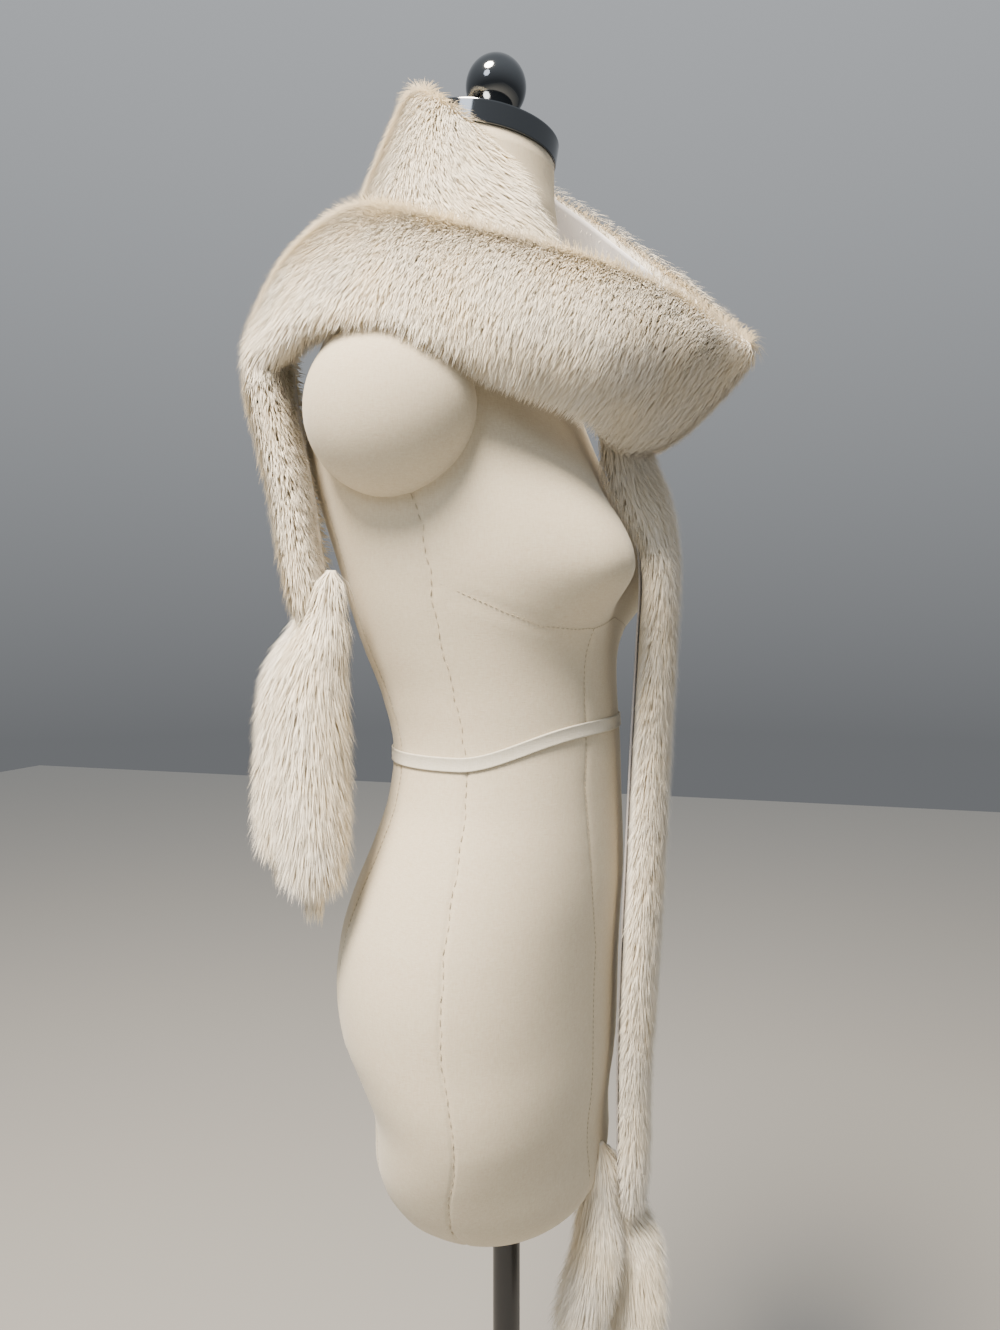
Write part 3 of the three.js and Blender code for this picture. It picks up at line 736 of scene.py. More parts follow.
print("solids to keep clear of", sorted(solids))


# %% Making the hides
def hide_grid(first, last, rise=HAIR_RISE, inset=1.0):
    """Outer and inner faces of a hide: rings along the band, points across it."""
    count = max(int(round((last - first) / STEP)), 2)
    along = np.broadcast_to(np.linspace(first, last, count + 1)[:, None], (count + 1, ACROSS))
    share = (1 - np.cos(np.linspace(0, np.pi, ACROSS)[None, :])) / 2
    top, low = fur_point(along, np.zeros_like(along)), fur_point(along, np.ones_like(along))
    wide = np.linalg.norm(top - low, axis=-1)
    upper, lower = (inset * np.interp(along, NAP[:, 0], NAP[:, k]) for k in (4, 5))
    start = np.minimum(upper / wide, 0.3)
    stop = 1 - np.minimum(lower / wide, 0.4)
    across = start + (stop - start) * share
    thick = spline(THICK, along)
    deep = np.maximum(thick - rise, HIDE_LEAST)
    # the upper edge is near the fur side, the lower edge is round
    edge = np.where(share < 0.5, np.minimum(UPPER_EDGE, deep / 2), deep / 2)
    flat = 1 - (1 - np.abs(2 * share - 1) ** 3) ** (1 / 3)
    outer = below_fur(along, across, thick - deep + edge * flat)
    inner = below_fur(along, across, thick - (deep - edge) * flat)[:, 1:-1][:, ::-1]
    return outer, inner, along


def unroll(rings):
    wide = np.linalg.norm(np.diff(rings, axis=1), axis=-1).sum(1).mean()
    long = np.linalg.norm(np.diff(rings, axis=0), axis=-1).sum(0).mean()
    return wide * MM, long * MM


def whole_stretch(name):
    """A stretch with its hair as a search tree, to find what lies under it."""
    outer, inner, _ = hide_grid(*STRETCHES[name], rise=0.0, inset=0.0)
    rings = np.concatenate([outer, inner], 1)
    mesh = ring_mesh("whole", rings)
    points = [v.co / MM for v in mesh.vertices]
    tree = BVHTree.FromPolygons(points, [list(p.vertices) for p in mesh.polygons])
    bpy.data.meshes.remove(mesh)
    return tree


def covered(points, stretches):
    """Whether each point (mm) lies inside one of the stretches."""
    flat = points.reshape(-1, 3)
    hidden = [any(inside(tree, Vector(p)) for tree in stretches) for p in flat]
    return np.array(hidden).reshape(points.shape[:-1])


# points of the flesh side over the upper edge, points combed in from each edge, and points of
# the flesh side past the lower edge, where the camera sees it
OVER_TOP = 4
COMB_IN = 5
COMB_LOW = 6
FLESH_SIDE = {"back_strip": 12, "right_band": 8}
FLESH_COVER = 0.1
FLESH_REACH = 0.55
HAIR_ROOM = 9
SEAT_GAP = 1.0
hides, coats, cuts = {}, {}, {}
for name, (first, last) in STRETCHES.items():
    outer, inner, along = hide_grid(first, last)
    sides = outer.shape[1]
    rings = np.concatenate([outer, inner], 1)
    moved = seat(rings, [solids[node] for node in RESTS[name]], SEAT_GAP)
    mesh = ring_mesh(f"hide_{name}", rings)
    hides[name] = piece(f"hide_{name}", mesh, mink_hide, name)
    cuts[name] = unroll(outer)

    # the ground that hair grows on: the last few points of the flesh side, then the fur side,
    # and beside the shoulder a part of the flesh side past the lower edge
    past = FLESH_SIDE.get(name, 0)
    points = np.concatenate([rings[:, -OVER_TOP:], rings[:, : sides + past]], 1)
    columns = points.shape[1]
    run = unit(np.gradient(points, axis=0))
    across = unit(np.gradient(points, axis=1))
    skin = unit(np.cross(across, run))
    middle = outer.mean(1, keepdims=True) - inner.mean(1, keepdims=True)
    low_edge = OVER_TOP + sides
    if (skin[:, OVER_TOP:low_edge] * middle).sum(-1).mean() < 0:
        skin = -skin
    # at both edges the hair keeps the direction that it has on the face
    down = across.copy()
    down[:, OVER_TOP : OVER_TOP + COMB_IN] = across[:, OVER_TOP + COMB_IN, None]
    down[:, low_edge - COMB_LOW :] = across[:, low_edge - COMB_LOW, None]
    lie = [np.interp(along[:, :1], NAP[:, 0], NAP[:, k])[..., None] for k in (1, 2, 3)]
    to_edge = np.clip(np.linspace(-1, -1 + 2 * columns / low_edge, columns), -1, 1)[None, :, None]
    nap = unit(run * lie[0] + down * (lie[1] + lie[2] * to_edge))
    # on the flesh side a few hairs stand up past the edge
    upright = unit(0.6 * run * np.clip(4 * lie[0], -1, 1) - 0.7 * down + 0.4 * skin)
    nap[:, :OVER_TOP] = upright[:, :OVER_TOP]
    # and nowhere does it lie into the skin
    nap = unit(nap - np.minimum((nap * skin).sum(-1, keepdims=True), 0) * skin + 1e-3 * across)
    cover = np.ones(points.shape[:2])
    cover[:, :OVER_TOP] = FLESH_COVER
    reach = np.ones_like(cover)
    reach[:, :OVER_TOP] = FLESH_REACH
    if name in LIES_UNDER:
        over = [whole_stretch(n) for n in LIES_UNDER[name]]
        cover[covered(points + HAIR_ROOM * nap, over)] = 0
    carried = {"nap": nap, "skin": skin, "cover": cover, "reach": reach}
    ground = hair_ground(f"coat_{name}", points, False, carried)
    coats[name] = grow_coat(f"coat_{name}", ground, HAIRS[name])
    print(name, "cut m", [round(v, 3) for v in cuts[name]], "points seated", moved)

# %% [markdown]
# ## Tails
# A tail is a slim stuffed core with long hair that lies down and out, so it looks bushy and
# ends in a ragged point. The core is a row of rings along a curve. It is drawn in from the
# CAD solid by the room that the hair needs.

# %% Tails
TAIL_HAIR = 9.0
TAIL_CORE_LEAST = 3.5
TAIL_REACH = {"front": 1.0, "back": 0.94}
# hairs on a tail, and their length in metres
TAIL_COAT = {"front": (10000, 0.026), "back": (18000, 0.024)}
TAIL_LIFT = 0.3
NEAR_END = 0.9


def tail_rings(full, path, fullness, reach, sides=20, rings=30):
    path = np.array(path, float)
    spans = np.linspace(0, len(path) - 1, 200)
    curve = spline(path, spans)
    run = np.concatenate([[0], np.cumsum(np.linalg.norm(np.diff(curve, axis=0), axis=1))])
    share = np.linspace(0, 1, rings)
    centre = np.stack([np.interp(share * reach * run[-1], run, curve[:, k]) for k in range(3)], -1)
    body = spline(np.array(fullness, float)[:, None], share * (len(fullness) - 1))[:, 0] * full
    radius = np.maximum(body - TAIL_HAIR, TAIL_CORE_LEAST)
    angle = np.linspace(0, 2 * np.pi, sides, endpoint=False)
    ring = np.stack([np.cos(angle), np.sin(angle), np.zeros(sides)], -1)
    return centre[:, None] + ring[None] * radius[:, None, None], ring


for name, (strip, full, path) in TAILS.items():
    rings, ring = tail_rings(full, path, TAIL_FULLNESS[strip], TAIL_REACH[strip])
    core_mesh = ring_mesh(f"core_{name}", rings)
    core = piece(f"core_{name}", core_mesh, mink_hide, name)
    hairs, length = TAIL_COAT[strip]
    skin = np.broadcast_to(ring[None], rings.shape)
    # the hair lies a little outwards, and near the end it closes in to a point
    near_end = np.linspace(0, 1, rings.shape[0])[:, None] > NEAR_END
    spread = np.where(near_end, -0.45, 0.12)[..., None]
    nap = unit(unit(np.gradient(rings.mean(1), axis=0))[:, None] + spread * skin)
    cover = np.ones(rings.shape[:2])
    carried = {"nap": nap, "skin": skin, "cover": cover, "reach": np.where(near_end, 0.8, 1.0) * cover}
    ground = hair_ground(f"coat_{name}", rings, True, carried)
    grow_coat(f"coat_{name}", ground, hairs, Length=length, Lift=TAIL_LIFT)

# %% [markdown]
# ## Satin lining
# The flesh side of the hide is covered with pale satin. It shows inside the left side of the
# collar, inside the cowl and behind the hanging ends. Satin is woven so that long threads
# lie on top, which gives soft bright streaks where it bends. It is a thin sheet here, with
# shallow creases, listed one by one, uneven in length and depth.

# %% Satin
satin, tree = material("pearl_satin")
cloth_uv = add(tree, "ShaderNodeUVMap", {"uv_map": "cloth"}).outputs[0]
stretched = add(tree, "ShaderNodeMapping", inputs={"Vector": cloth_uv, "Scale": (1.0, 9.0, 1.0)})
along_it = stretched.outputs[0]
threads = add(tree, "ShaderNodeTexNoise", inputs={"Vector": along_it, "Scale": 260.0, "Detail": 2.0})
soft = add(tree, "ShaderNodeTexNoise", inputs={"Vector": cloth_uv, "Scale": 45.0, "Detail": 2.0})
tones = {0: soft.outputs["Fac"], 6: linear("#dcdce2"), 7: linear("#efeef0")}
shade = add(tree, "ShaderNodeMix", {"data_type": "RGBA"}, tones)
relief = {"Strength": 0.25, "Distance": 0.0004, "Height": threads.outputs["Fac"]}
bump = add(tree, "ShaderNodeBump", inputs=relief)
finish_material(
    tree,
    {
        "Base Color": shade.outputs[2],
        "Roughness": 0.34,
        "Anisotropic": 0.5,
        "Specular IOR Level": 0.6,
        "Sheen Weight": 0.25,
        "Normal": bump.outputs["Normal"],
    },
)

LINING_GAP = 0.9
LINING_THICK = 1.2
LINING_ACROSS = 29
LINING_SEAT = 0.4
CREASE_IN = -0.4
# no rings in between, so the sheet spans the cowl's point in one flat step
COWL_POINT = (29.75, 30.3)
# columns: along, across, slant, reach, width, depth
CREASES = {
    "front_strip": [
        (2.5, 0.4, 0.2, 0.9, 0.10, 0.8),
        (5.2, 0.6, -0.15, 1.2, 0.12, 1.0),
        (8.1, 0.45, 0.2, 0.8, 0.1, 0.9),
    ],
    "left_band": [
        (23.6, 0.35, 0.5, 0.5, 0.10, 2.0),
        (24.5, 0.55, -0.4, 0.7, 0.09, 2.4),
        (25.3, 0.3, 0.35, 0.6, 0.08, 2.2),
        (26.1, 0.5, 0.6, 0.5, 0.10, 2.6),
        (26.8, 0.35, -0.5, 0.6, 0.08, 2.0),
        (27.5, 0.55, 0.4, 0.5, 0.09, 2.3),
    ],
    "cowl": [
        (28.6, 0.4, 0.4, 0.5, 0.1, 1.8),
        (31.2, 0.3, -0.4, 0.5, 0.1, 1.6),
        (32.3, 0.45, 0.3, 0.6, 0.09, 1.8),
    ],
    "back_strip": [(42.5, 0.5, 0.2, 0.9, 0.12, 0.8), (45.0, 0.45, -0.2, 0.8, 0.1, 0.9)],
}
# columns: first and last place along the band, upper and lower share of its width
LININGS = {
    "front_strip": (2, 12, 0.16, 0.74),
    "left_band": (23, 28, 0.03, 0.9),
    "cowl": (28, 33, 0.05, 0.72),
    "back_strip": (43, 47, 0.3, 0.62),
}


def creased(along, across, creases):
    lift = np.zeros_like(along)
    for at, middle, slant, reach, width, depth in creases:
        off = (along - at) - slant * (across - middle)
        fade = np.exp(-(((across - middle) / (0.6 * reach)) ** 2))
        ridge = np.exp(-((off / width) ** 2))
        furrow = np.exp(-(((off - 1.9 * width) / width) ** 2))
        lift += depth * fade * (ridge - 0.6 * furrow)
    return lift


for name, (first, last, upper, lower) in LININGS.items():
    count = int((last - first) / STEP)
    along = np.linspace(first, last, count + 1)[:, None]
    along = np.broadcast_to(along, (count + 1, LINING_ACROSS))
    if name == "cowl":
        along = along[(along[:, 0] < COWL_POINT[0]) | (along[:, 0] > COWL_POINT[1])]
    share = np.broadcast_to(np.linspace(0, 1, LINING_ACROSS)[None, :], along.shape)
    across = upper + (lower - upper) * share
    edge = np.minimum(1, 5 * np.minimum(share, 1 - share))
    creases = np.maximum(creased(along, across, CREASES[name]), CREASE_IN)
    depth = spline(THICK, along) + LINING_GAP + creases * edge
    outer = below_fur(along, across, depth)
    inner = below_fur(along, across, depth + LINING_THICK)[:, ::-1]
    rings = np.concatenate([outer, inner], 1)
    moved = seat(rings, [solids["form_torso"]], LINING_SEAT)
    mesh = ring_mesh(f"lining_sheet_{name}", rings)
    sheet = piece(f"lining_sheet_{name}", mesh, satin, f"lining_{name}")

# %% [markdown]
# ## Linen body
# The form is a hard shell covered with padded linen, sewn from long panels. The seams lie in
# small troughs and pucker where the stitches pull the cloth in. The mesh has a column along
# each seam, so a trough is real shape, and one ring of it follows the seam under the bust.

# %% Seams
# columns: height, angle round the body, with 270 at the front
SEAMS = {
    "side": [
        (1233, 181.4),
        (1066, 181),
        (1002, 183.4),
        (951, 186.4),
        (900, 190),
        (831, 191),
        (772, 187.8),
        (729, 183),
    ],
    "front_panel": [(1240, 236), (1130, 244.4), (1025, 239.4), (942, 247.5), (904, 253), (732, 255)],
    "back_panel": [(1300, 140), (1130, 138), (1044, 141), (900, 136), (732, 138)],
}
# columns: angle from the front, height
UNDERBUST = np.array(
    [(0, 1147), (26, 1138), (39, 1137), (53, 1139), (67, 1149), (79, 1160), (88, 1169)]
)
SEAM_DEPTH = 1.1
SEAM_WIDTH = 1.9
PUCKER = 0.35
PUCKER_AWAY = 3.5
BUST_SEAM_DEPTH = 0.8


def seam_angle(name, z, mirrored=False):
    table = np.array(SEAMS[name])[::-1]
    angle = np.interp(z, table[:, 0], table[:, 1])
    return 540 - angle if mirrored else angle


def squared(v, square):
    return np.sign(v) * np.abs(v) ** (2 / square)


def form_point(z, degrees):
    """A point on the body's surface (mm) at any height and angle."""
    row = np.interp(z, FORM_LEVELS[:, 0], np.arange(len(FORM_LEVELS)))
    half, front, back, square = (spline(FORM_LEVELS[:, k], row) for k in (1, 2, 3, 4))
    angle = np.radians(degrees)
    centre, deep = (back - front) / 2, (back + front) / 2
    x = half * squared(np.cos(angle), square)
    y = centre + deep * squared(np.sin(angle), square)
    spread = np.where(z > BUST["z"], BUST["above"], BUST["below"])
    level = np.exp(-(((z - BUST["z"]) / spread) ** 2) / 2)
    hills = sum(np.exp(-(((x - side * BUST["x"]) / BUST["wide"]) ** 2) / 2) for side in (1, -1))
    chest = np.clip(1.3 * (centre - y) / deep, 0, 1)
    return np.stack([x, y - BUST["out"] * level * hills * chest, z + 0 * x], -1)


# %% The body's grid
def seam_lines(z):
    """Angles of the nine lines that divide a level, going round from the back."""
    right = [seam_angle(n, z) for n in ("back_panel", "side", "front_panel")]
    left = [seam_angle(n, z, True) for n in ("front_panel", "side", "back_panel")]
    back, front, round_again = (np.full_like(z, angle) for angle in (90.0, 270.0, 450.0))
    return np.stack([back, *right, front, *left, round_again], -1)


BESIDE_SEAM = (0, 0.9, 2.2)
PANEL_EDGE = 3.6
PANEL_COLUMNS = 15


def body_angles(z):
    lines = seam_lines(z)
    columns = []
    for k in range(lines.shape[1] - 1):
        here, there = lines[:, k], lines[:, k + 1]
        inner = np.linspace(0, 1, PANEL_COLUMNS)[1:-1]
        columns += [here + b for b in BESIDE_SEAM]
        columns += [here + PANEL_EDGE + (there - here - 2 * PANEL_EDGE) * t for t in inner]
        columns += [there - b for b in BESIDE_SEAM[:0:-1]]
    return np.stack(columns, -1)


low_levels = [701, 708, 721, 738]
levels = [FORM_LEVELS[:6, 0], low_levels, np.arange(755, 1445, 5.5), [FORM_LEVELS[-1, 0]]]
levels = np.unique(np.concatenate(levels))
ang = body_angles(levels)
z_grid = np.broadcast_to(levels[:, None], ang.shape).copy()
from_front = np.abs(ang - 270)
under = np.interp(from_front, UNDERBUST[:, 0], UNDERBUST[:, 1])
nearest = levels[np.argmin(np.abs(levels - UNDERBUST[0, 1]))]
pull = np.clip(1 - np.abs(z_grid - nearest) / 90, 0, 1) ** 1.5
fade = np.clip((100 - from_front) / 20, 0, 1)
z_grid += (under - nearest) * pull * fade
body_points = form_point(z_grid, ang)

body_normals = unit(np.cross(np.gradient(body_points, axis=1), np.gradient(body_points, axis=0)))
if (body_normals * (body_points - body_points.mean(1, keepdims=True))).sum(-1).mean() < 0:
    body_normals = -body_normals
radius = np.linalg.norm(body_points[..., :2], axis=-1)
trough = np.zeros_like(z_grid)
waves = np.sin(z_grid / 1.9 + 2.1 * np.sin(z_grid / 23)) * 0.5 + np.sin(z_grid / 3.1) * 0.3
# of the eight lines, counted from the centre back, only the centre front has no seam, and the
# front panels' seams end under the bust
CENTRE_FRONT = 4
FRONT_PANELS = (3, 5)
for k in range(8):
    if k == CENTRE_FRONT:
        continue
    line = seam_lines(z_grid[:, 0])[:, k][:, None]
    gap = (ang - line + 180) % 360 - 180
    away = np.radians(gap) * radius
    here = np.where(z_grid < under, 1.0, 0.0) if k in FRONT_PANELS else 1.0
    trough -= SEAM_DEPTH * here * np.exp(-((away / SEAM_WIDTH) ** 2))
    trough += PUCKER * waves * here * np.exp(-(((np.abs(away) - PUCKER_AWAY) / 2.5) ** 2))
from_seam = z_grid - under
trough -= BUST_SEAM_DEPTH * np.exp(-((from_seam / 2.0) ** 2)) * fade * (from_front < 89)
body_points += body_normals * trough[..., None]


def neck_ring(z, radius, tilt):
    angle = np.radians(body_angles(FORM_LEVELS[-1:, 0])[0])
    y = radius * np.sin(angle)
    return np.stack([radius * np.cos(angle), NECK["backset"] + y, z + y * math.tan(tilt)], -1)


# columns: height, radius, share of the neck's tilt
NECK_SIZES = [
    (1460, 57.5, 0.15),
    (1472, 56, 0.3),
    (1482, 55.3, 0.5),
    (1492, 55, 0.7),
    (1503, 55, 0.85),
    (1513, 55, 1),
]
neck = [neck_ring(z, radius, NECK["tilt"] * share) for z, radius, share in NECK_SIZES]
body_rings = np.concatenate([body_points, np.array(neck)])
body_mesh = ring_mesh("linen_body", body_rings)
print("body faces", len(body_mesh.polygons))

# %% [markdown]
# ## Linen
# Natural linen is a plain weave with threads of uneven thickness. The threads are about half
# a millimetre apart, too fine for this distance, so the weave is drawn at about one
# millimetre, with thicker slubs here and there and a slow drift between cream and grey.

# %% Linen material
def linen_material(name, light, dark):
    made, tree = material(name)
    place = add(tree, "ShaderNodeTexCoord").outputs["Object"]
    drift = add(tree, "ShaderNodeTexNoise", inputs={"Vector": place, "Scale": 9.0, "Detail": 3.0})
    flat = add(tree, "ShaderNodeMapping", inputs={"Vector": place, "Scale": (1.0, 1.0, 5.0)})
    tall = add(tree, "ShaderNodeMapping", inputs={"Vector": place, "Scale": (4.0, 4.0, 0.8)})
    weft, warp = (
        add(tree, "ShaderNodeTexNoise", inputs={"Vector": way, "Scale": 260.0, "Detail": 2.0})
        for way in (flat.outputs[0], tall.outputs[0])
    )
    both = {0: weft.outputs["Fac"], 1: warp.outputs["Fac"]}
    weave = add(tree, "ShaderNodeMath", {"operation": "ADD"}, both).outputs[0]
    fine = add(tree, "ShaderNodeMath", {"operation": "MULTIPLY"}, {0: weave, 1: 0.5}).outputs[0]
    tones = {0: drift.outputs["Fac"], 6: linear(light), 7: linear(dark)}
    base = add(tree, "ShaderNodeMix", {"data_type": "RGBA"}, tones)
    thread = add(
        tree,
        "ShaderNodeMix",
        {"data_type": "RGBA", "blend_type": "OVERLAY"},
        {0: 0.35, 6: base.outputs[2], 7: fine},
    )
    bump = add(tree, "ShaderNodeBump", inputs={"Strength": 0.35, "Distance": 0.0005, "Height": fine})
    finish_material(
        tree,
        {
            "Base Color": thread.outputs[2],
            "Roughness": 0.85,
            "Specular IOR Level": 0.25,
            "Sheen Weight": 0.2,
            "Normal": bump.outputs["Normal"],
        },
    )
    return made


linen = linen_material("natural_linen", "#dcd0b6", "#cdc2aa")
tape_cotton = linen_material("cotton_tape", "#dad5c6", "#cdc8b8")
piece("linen_body", body_mesh, linen, "form_torso")

# %% [markdown]
# ## Shoulder caps and waist tape
# The caps are padded domes sewn over the armholes. Only their outer part stands out of the
# body. The tape marks the waist. It dips a little at the sides and back and is stitched down
# along both edges.

# %% Caps
CAP_LAT = 48
CAP_LON = 72
POLE_GAP = 0.02


def dome(name, side, node):
    lat = np.linspace(POLE_GAP, np.pi - POLE_GAP, CAP_LAT)[:, None]
    lon = np.linspace(0, 2 * np.pi, CAP_LON, endpoint=False)[None, :]
    x = np.cos(lat) * np.ones_like(lon)
    y = np.sin(lat) * np.cos(lon)
    z = np.sin(lat) * np.sin(lon)
    centre = np.array([side * CAP["x"], CAP["y"], CAP["z"]])
    rings = centre + np.stack([x * CAP["out"], y * CAP["deep"], z * CAP["tall"]], -1)
    mesh = ring_mesh(name, rings)
    piece(name, mesh, linen, node)


dome("cap_cover_right", -1, "shoulder_cap_right")
dome("cap_cover_left", 1, "shoulder_cap_left")


# %% Waist tape
def on_body(z, degrees, out):
    """Points a little off the body's surface (mm), straight out from its axis."""
    base = form_point(z, degrees)
    flat = unit(base * np.array([1, 1, 0]) - np.array([0, 5, 0]))
    return base + flat * out


TAPE_STEPS = 180
# columns: up from the tape's middle, out from the body
TAPE_PROFILE = [
    (-5, 0.5),
    (-4.8, 1.4),
    (-4.2, 1.7),
    (-3.6, 1.45),
    (0, 1.7),
    (3.6, 1.45),
    (4.2, 1.7),
    (4.8, 1.4),
    (5, 0.5),
    (4, 0.35),
    (-4, 0.35),
]
turn = np.linspace(0, 360, TAPE_STEPS, endpoint=False)
rough = form_point(np.full_like(turn, TAPE["z"]), turn)
rise = np.clip(-rough[:, 1] / TAPE["reach"], 0, 1)
tape_z = TAPE["z"] + TAPE["rise"] * rise * rise * (3 - 2 * rise)
tape_rings = [on_body(tape_z + up, turn, out) for up, out in TAPE_PROFILE]
tape_points = np.array(tape_rings).transpose(1, 0, 2).reshape(-1, 3)
# the last ring of faces closes on the first points
tape_faces = np.array(ring_faces(TAPE_STEPS + 1, len(TAPE_PROFILE), True)) % len(tape_points)
tape_mesh = make_mesh("waist_band", tape_points, tape_faces.tolist())
outward(tape_mesh)
piece("waist_band", tape_mesh, tape_cotton, "waist_tape")

# %% [markdown]
# ## Stitches
# The seams are closed with small stitches that show as a broken line. Each line is a curve
# on the linen. Geometry Nodes set one small thread at each step of it and end in a plain mesh.

# %% Stitch tree
STITCH_INPUTS = {
    "Step": ("NodeSocketFloat", 0.006),
    "Long": ("NodeSocketFloat", 0.0036),
    "Thick": ("NodeSocketFloat", 0.0007),
    "Finish": ("NodeSocketMaterial", None),
}


def stitch_tree():
    tree, given = group_tree("stitch_row", STITCH_INPUTS)
    line = add(tree, "GeometryNodeMeshToCurve", inputs={"Mesh": given["Geometry"]})
    path = {"Curve": line.outputs[0], "Length": given["Step"]}
    steps = add(tree, "GeometryNodeCurveToPoints", {"mode": "LENGTH"}, path)
    thread = add(tree, "GeometryNodeMeshIcoSphere", inputs={"Radius": 0.5, "Subdivisions": 1})
    way = {"Vector": steps.outputs["Tangent"]}
    turn = add(tree, "FunctionNodeAlignRotationToVector", {"axis": "X"}, way)
    thick = given["Thick"]
    size = add(tree, "ShaderNodeCombineXYZ", inputs={"X": given["Long"], "Y": thick, "Z": thick})
    rows = add(
        tree,
        "GeometryNodeInstanceOnPoints",
        inputs={
            "Points": steps.outputs["Points"],
            "Instance": thread.outputs["Mesh"],
            "Rotation": turn.outputs[0],
            "Scale": size.outputs[0],
        },
    )
    return finish_group(tree, rows.outputs[0], given["Finish"])


stitch_row = stitch_tree()


def sew(name, lines_mm, finish, **sizes):
    points, edges = [], []
    for line in lines_mm:
        start = len(points)
        points += [tuple(p * MM) for p in line]
        edges += [(start + i, start + i + 1) for i in range(len(line) - 1)]
    mesh = bpy.data.meshes.new(name)
    mesh.from_pydata(points, edges, [])
    holder = run_tree(name, mesh, stitch_row, {"Finish": finish, **sizes})
    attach(holder, "root")
    print(name, len(holder.data.polygons), "faces")


# %% Sewing the seams
thread_cotton, tree = material("cotton_thread")
finish_material(tree, {"Base Color": linear("#b9ae97"), "Roughness": 0.8})

# the lines sink into the seams' troughs by less than these are deep
SIDE_SINK = -0.55
PANEL_SINK = -0.75
BUST_SINK = -0.45
PANEL_ENDS = {"front_panel": 1138, "back_panel": 1236}
seam_z = np.arange(725, 1236, 4.0)
wobble = 0.35 * np.sin(seam_z / 5.3) + 0.25 * np.sin(seam_z / 2.2)
side_lines = [
    on_body(seam_z, seam_angle("side", seam_z, mirrored) + wobble, SIDE_SINK)
    for mirrored in (False, True)
]
panel_lines = [
    on_body(seam_z[seam_z < end], seam_angle(n, seam_z[seam_z < end], mirrored), PANEL_SINK)
    for n, end in PANEL_ENDS.items()
    for mirrored in (False, True)
]
sweep = np.arange(184, 356, 1.5)
bust_z = np.interp(np.abs(sweep - 270), UNDERBUST[:, 0], UNDERBUST[:, 1])
panel_lines.append(on_body(bust_z, sweep, BUST_SINK))
sew("side_stitches", side_lines, thread_cotton, Step=0.0075, Long=0.0052, Thick=0.0011)
sew("panel_stitches", panel_lines, thread_cotton, Step=0.004, Long=0.003, Thick=0.0006)

# %% [markdown]
# ## Metal and enamel
# The neck ends in a chromed disc with a turned stem and a mirror-bright ball. Chrome shows the
# room and needs a very low roughness; its base colour here is a dark grey, a painted dark
# reflection that stands in for the dark room seen in it. The pole and base are black enamelled
# steel, which is smooth and slightly glossy.

# %% Metals
chrome, tree = material("polished_chrome")
place = add(tree, "ShaderNodeTexCoord").outputs["Object"]
haze = add(tree, "ShaderNodeTexNoise", inputs={"Vector": place, "Scale": 60.0, "Detail": 4.0})
rough = add(tree, "ShaderNodeMapRange", inputs={0: haze.outputs["Fac"], 3: 0.05, 4: 0.13})
# painted reflection: the dark grey base colour stands in for the dark room that the chrome reflects
finish_material(tree, {"Base Color": linear("#6b6e71"), "Metallic": 1.0, "Roughness": rough.outputs[0]})

enamel, tree = material("black_enamel")
place = add(tree, "ShaderNodeTexCoord").outputs["Object"]
scuff = add(tree, "ShaderNodeTexNoise", inputs={"Vector": place, "Scale": 35.0, "Detail": 5.0})
rough = add(tree, "ShaderNodeMapRange", inputs={0: scuff.outputs["Fac"], 3: 0.28, 4: 0.5})
orange = add(tree, "ShaderNodeTexNoise", inputs={"Vector": place, "Scale": 500.0})
relief = {"Strength": 0.08, "Distance": 0.0003, "Height": orange.outputs["Fac"]}
bump = add(tree, "ShaderNodeBump", inputs=relief)
finish_material(
    tree,
    {
        "Base Color": linear("#14161b"),
        "Roughness": rough.outputs[0],
        "Coat Weight": 0.3,
        "Normal": bump.outputs["Normal"],
    },
)


def turned(name, profile, finish, node, segments=96, on_neck=False):
    """A round piece from its profile of radius and height (mm), closed on its axis."""
    angle = np.linspace(0, 2 * np.pi, segments, endpoint=False)
    profile = np.array(profile, float)
    radius, height = profile[:, :1], profile[:, 1:]
    rings = [radius * np.cos(angle), radius * np.sin(angle), height * np.ones(segments)]
    rings = np.stack(rings, -1)
    if on_neck:
        c, s = math.cos(NECK["tilt"]), math.sin(NECK["tilt"])
        y, z = rings[..., 1].copy(), rings[..., 2].copy()
        rings[..., 1] = NECK["backset"] + c * y - s * z
        rings[..., 2] = NECK["top"] + s * y + c * z
    mesh = ring_mesh(name, rings)
    piece(name, mesh, finish, node)
    mesh.set_sharp_from_angle(angle=math.radians(30))


GAP = 0.3
PLATE_HIGH = 17
STEM_HIGH = 13
STEM_TOP = 9
BALL = 24
BALL_HOLE = 11
rim = NECK["radius"] / math.cos(NECK["tilt"]) + 1
plate = [
    (rim - 1, GAP),
    (rim - 0.3, 0.6),
    (rim, 1.2),
    (rim, 1.6),
    (rim, 15.6),
    (rim, 16),
    (rim - 0.3, 16.8),
    (rim - 1, 17.2),
    (rim - 1.4, 17.2),
    (20, 17.2),
]
turned("neck_cap", plate, chrome, "neck_plate", on_neck=True)
low = PLATE_HIGH + 2 * GAP
stem = [
    (16.4, low),
    (17, low + 0.7),
    (17, low + 6),
    (15.8, low + 7.4),
    (11.5, low + 9),
    (9.2, low + 10.5),
    (STEM_TOP, low + STEM_HIGH),
]
turned("stem", stem, chrome, "finial_stem", on_neck=True)
# the ball sits on the stem's end, so it starts at a small ring and not at its lowest point
sunk = PLATE_HIGH + STEM_HIGH + 3 * GAP - (BALL - math.sqrt(BALL**2 - STEM_TOP**2))
arc = np.linspace(math.asin(BALL_HOLE / BALL), math.pi - 0.03, 48)
ball = [(BALL * math.sin(t), sunk + BALL - BALL * math.cos(t)) for t in arc]
turned("ball", ball, chrome, "finial_ball", on_neck=True)

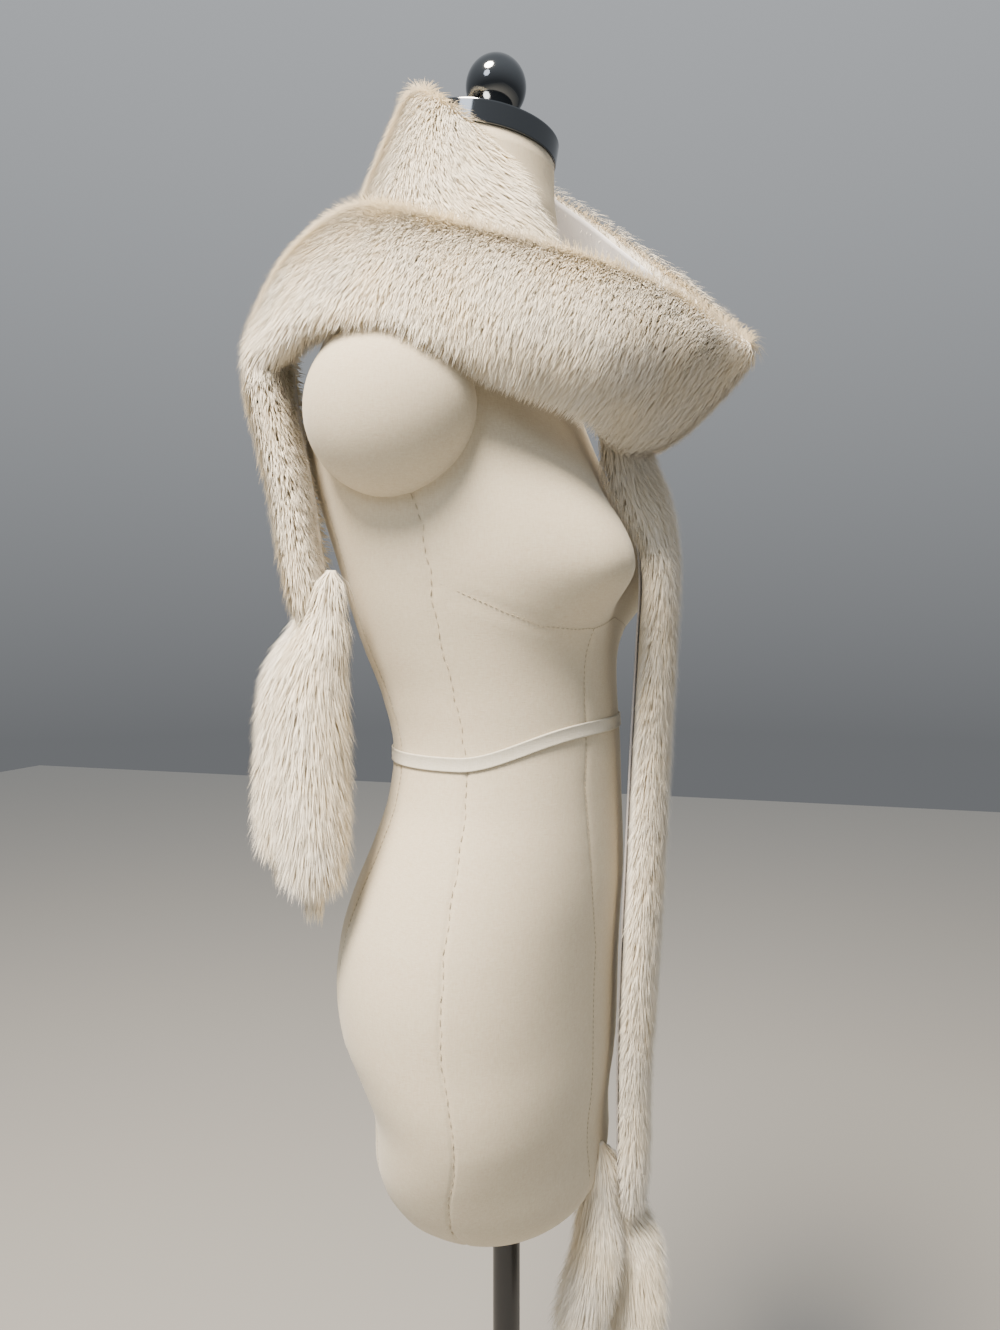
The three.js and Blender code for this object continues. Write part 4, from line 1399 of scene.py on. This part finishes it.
# %% Stand
tube = [(10.6, 42.3), (11, 42.7), (11, 695.3), (10.6, 695.7)]
turned("pole_tube", tube, enamel, "pole", 48)
disc = [
    (178.8, 0),
    (180, 1.2),
    (180, 4),
    (179, 5.2),
    (166, 9),
    (60, 10.2),
    (31, 11),
    (27, 12.6),
    (24.4, 16.5),
    (23.2, 22),
    (20.4, 40),
    (19.4, 41.6),
    (18.4, 42),
]
turned("base_disc", disc, enamel, "base_plate")

# %% [markdown]
# ## The camera
# The photo was taken from the form's right front, at about the height of its waist to
# shoulder. The camera's place and lens come from matching the outlines of the form.

# %% Camera
SENSOR = 36
FOCAL_PIXELS = 960
PHOTO_HEIGHT = 1330
camera = bpy.data.cameras.new("camera")
camera.lens = FOCAL_PIXELS / PHOTO_HEIGHT * SENSOR
camera.sensor_width = SENSOR
camera_object = bpy.data.objects.new("camera", camera)
camera_object.location = (-0.7379, -0.2201, 1.134)
camera_object.rotation_euler = (math.radians(88.15), 0, math.radians(-73))
bpy.context.scene.collection.objects.link(camera_object)
bpy.context.scene.camera = camera_object

# %% [markdown]
# ## Floor and light
# A pale floor and large soft lamps, as in a plain studio.

# %% Stage
floor_paint, tree = material("pale_floor")
finish_material(tree, {"Base Color": linear("#aaa8a3"), "Roughness": 0.8})
floor_mesh = bpy.data.meshes.new("floor")
floor_mesh.from_pydata([(-6, -6, 0), (6, -6, 0), (6, 6, 0), (-6, 6, 0)], [], [(0, 1, 2, 3)])
floor_mesh.materials.append(floor_paint)
floor = bpy.data.objects.new("floor", floor_mesh)
bpy.context.scene.collection.objects.link(floor)

world = bpy.data.worlds.new("studio")
world.use_nodes = True
sky = world.node_tree
way = add(sky, "ShaderNodeTexCoord").outputs["Generated"]
height = add(sky, "ShaderNodeSeparateXYZ", inputs={0: way}).outputs["Z"]
level = add(sky, "ShaderNodeMapRange", inputs={0: height, 1: -0.1, 2: 0.9, 3: 0.21, 4: 0.85})
sky.nodes["Background"].inputs["Color"].default_value = linear("#dfe3e8")
sky.links.new(level.outputs[0], sky.nodes["Background"].inputs["Strength"])
bpy.context.scene.world = world

# columns: place, aim, size, power, colour
LAMPS = {
    "key": ((-1.4, 0.4, 3.4), (-0.05, 0, 1.2), 1.0, 320, "#fff0dc"),
    "window": ((-2.3, 0.7, 2.6), (0, 0, 1.2), 0.9, 16, "#eef2fb"),
}
for name, (place, aim, size, power, colour) in LAMPS.items():
    lamp = bpy.data.lights.new(name, "AREA")
    lamp.shape = "DISK"
    lamp.size = size
    lamp.energy = power
    lamp.color = linear(colour)[:3]
    lamp_object = bpy.data.objects.new(name, lamp)
    lamp_object.location = place
    lamp_object.rotation_euler = (Vector(aim) - Vector(place)).to_track_quat("-Z", "Y").to_euler()
    bpy.context.scene.collection.objects.link(lamp_object)

# %% The end
bpy.data.objects.remove(blade)
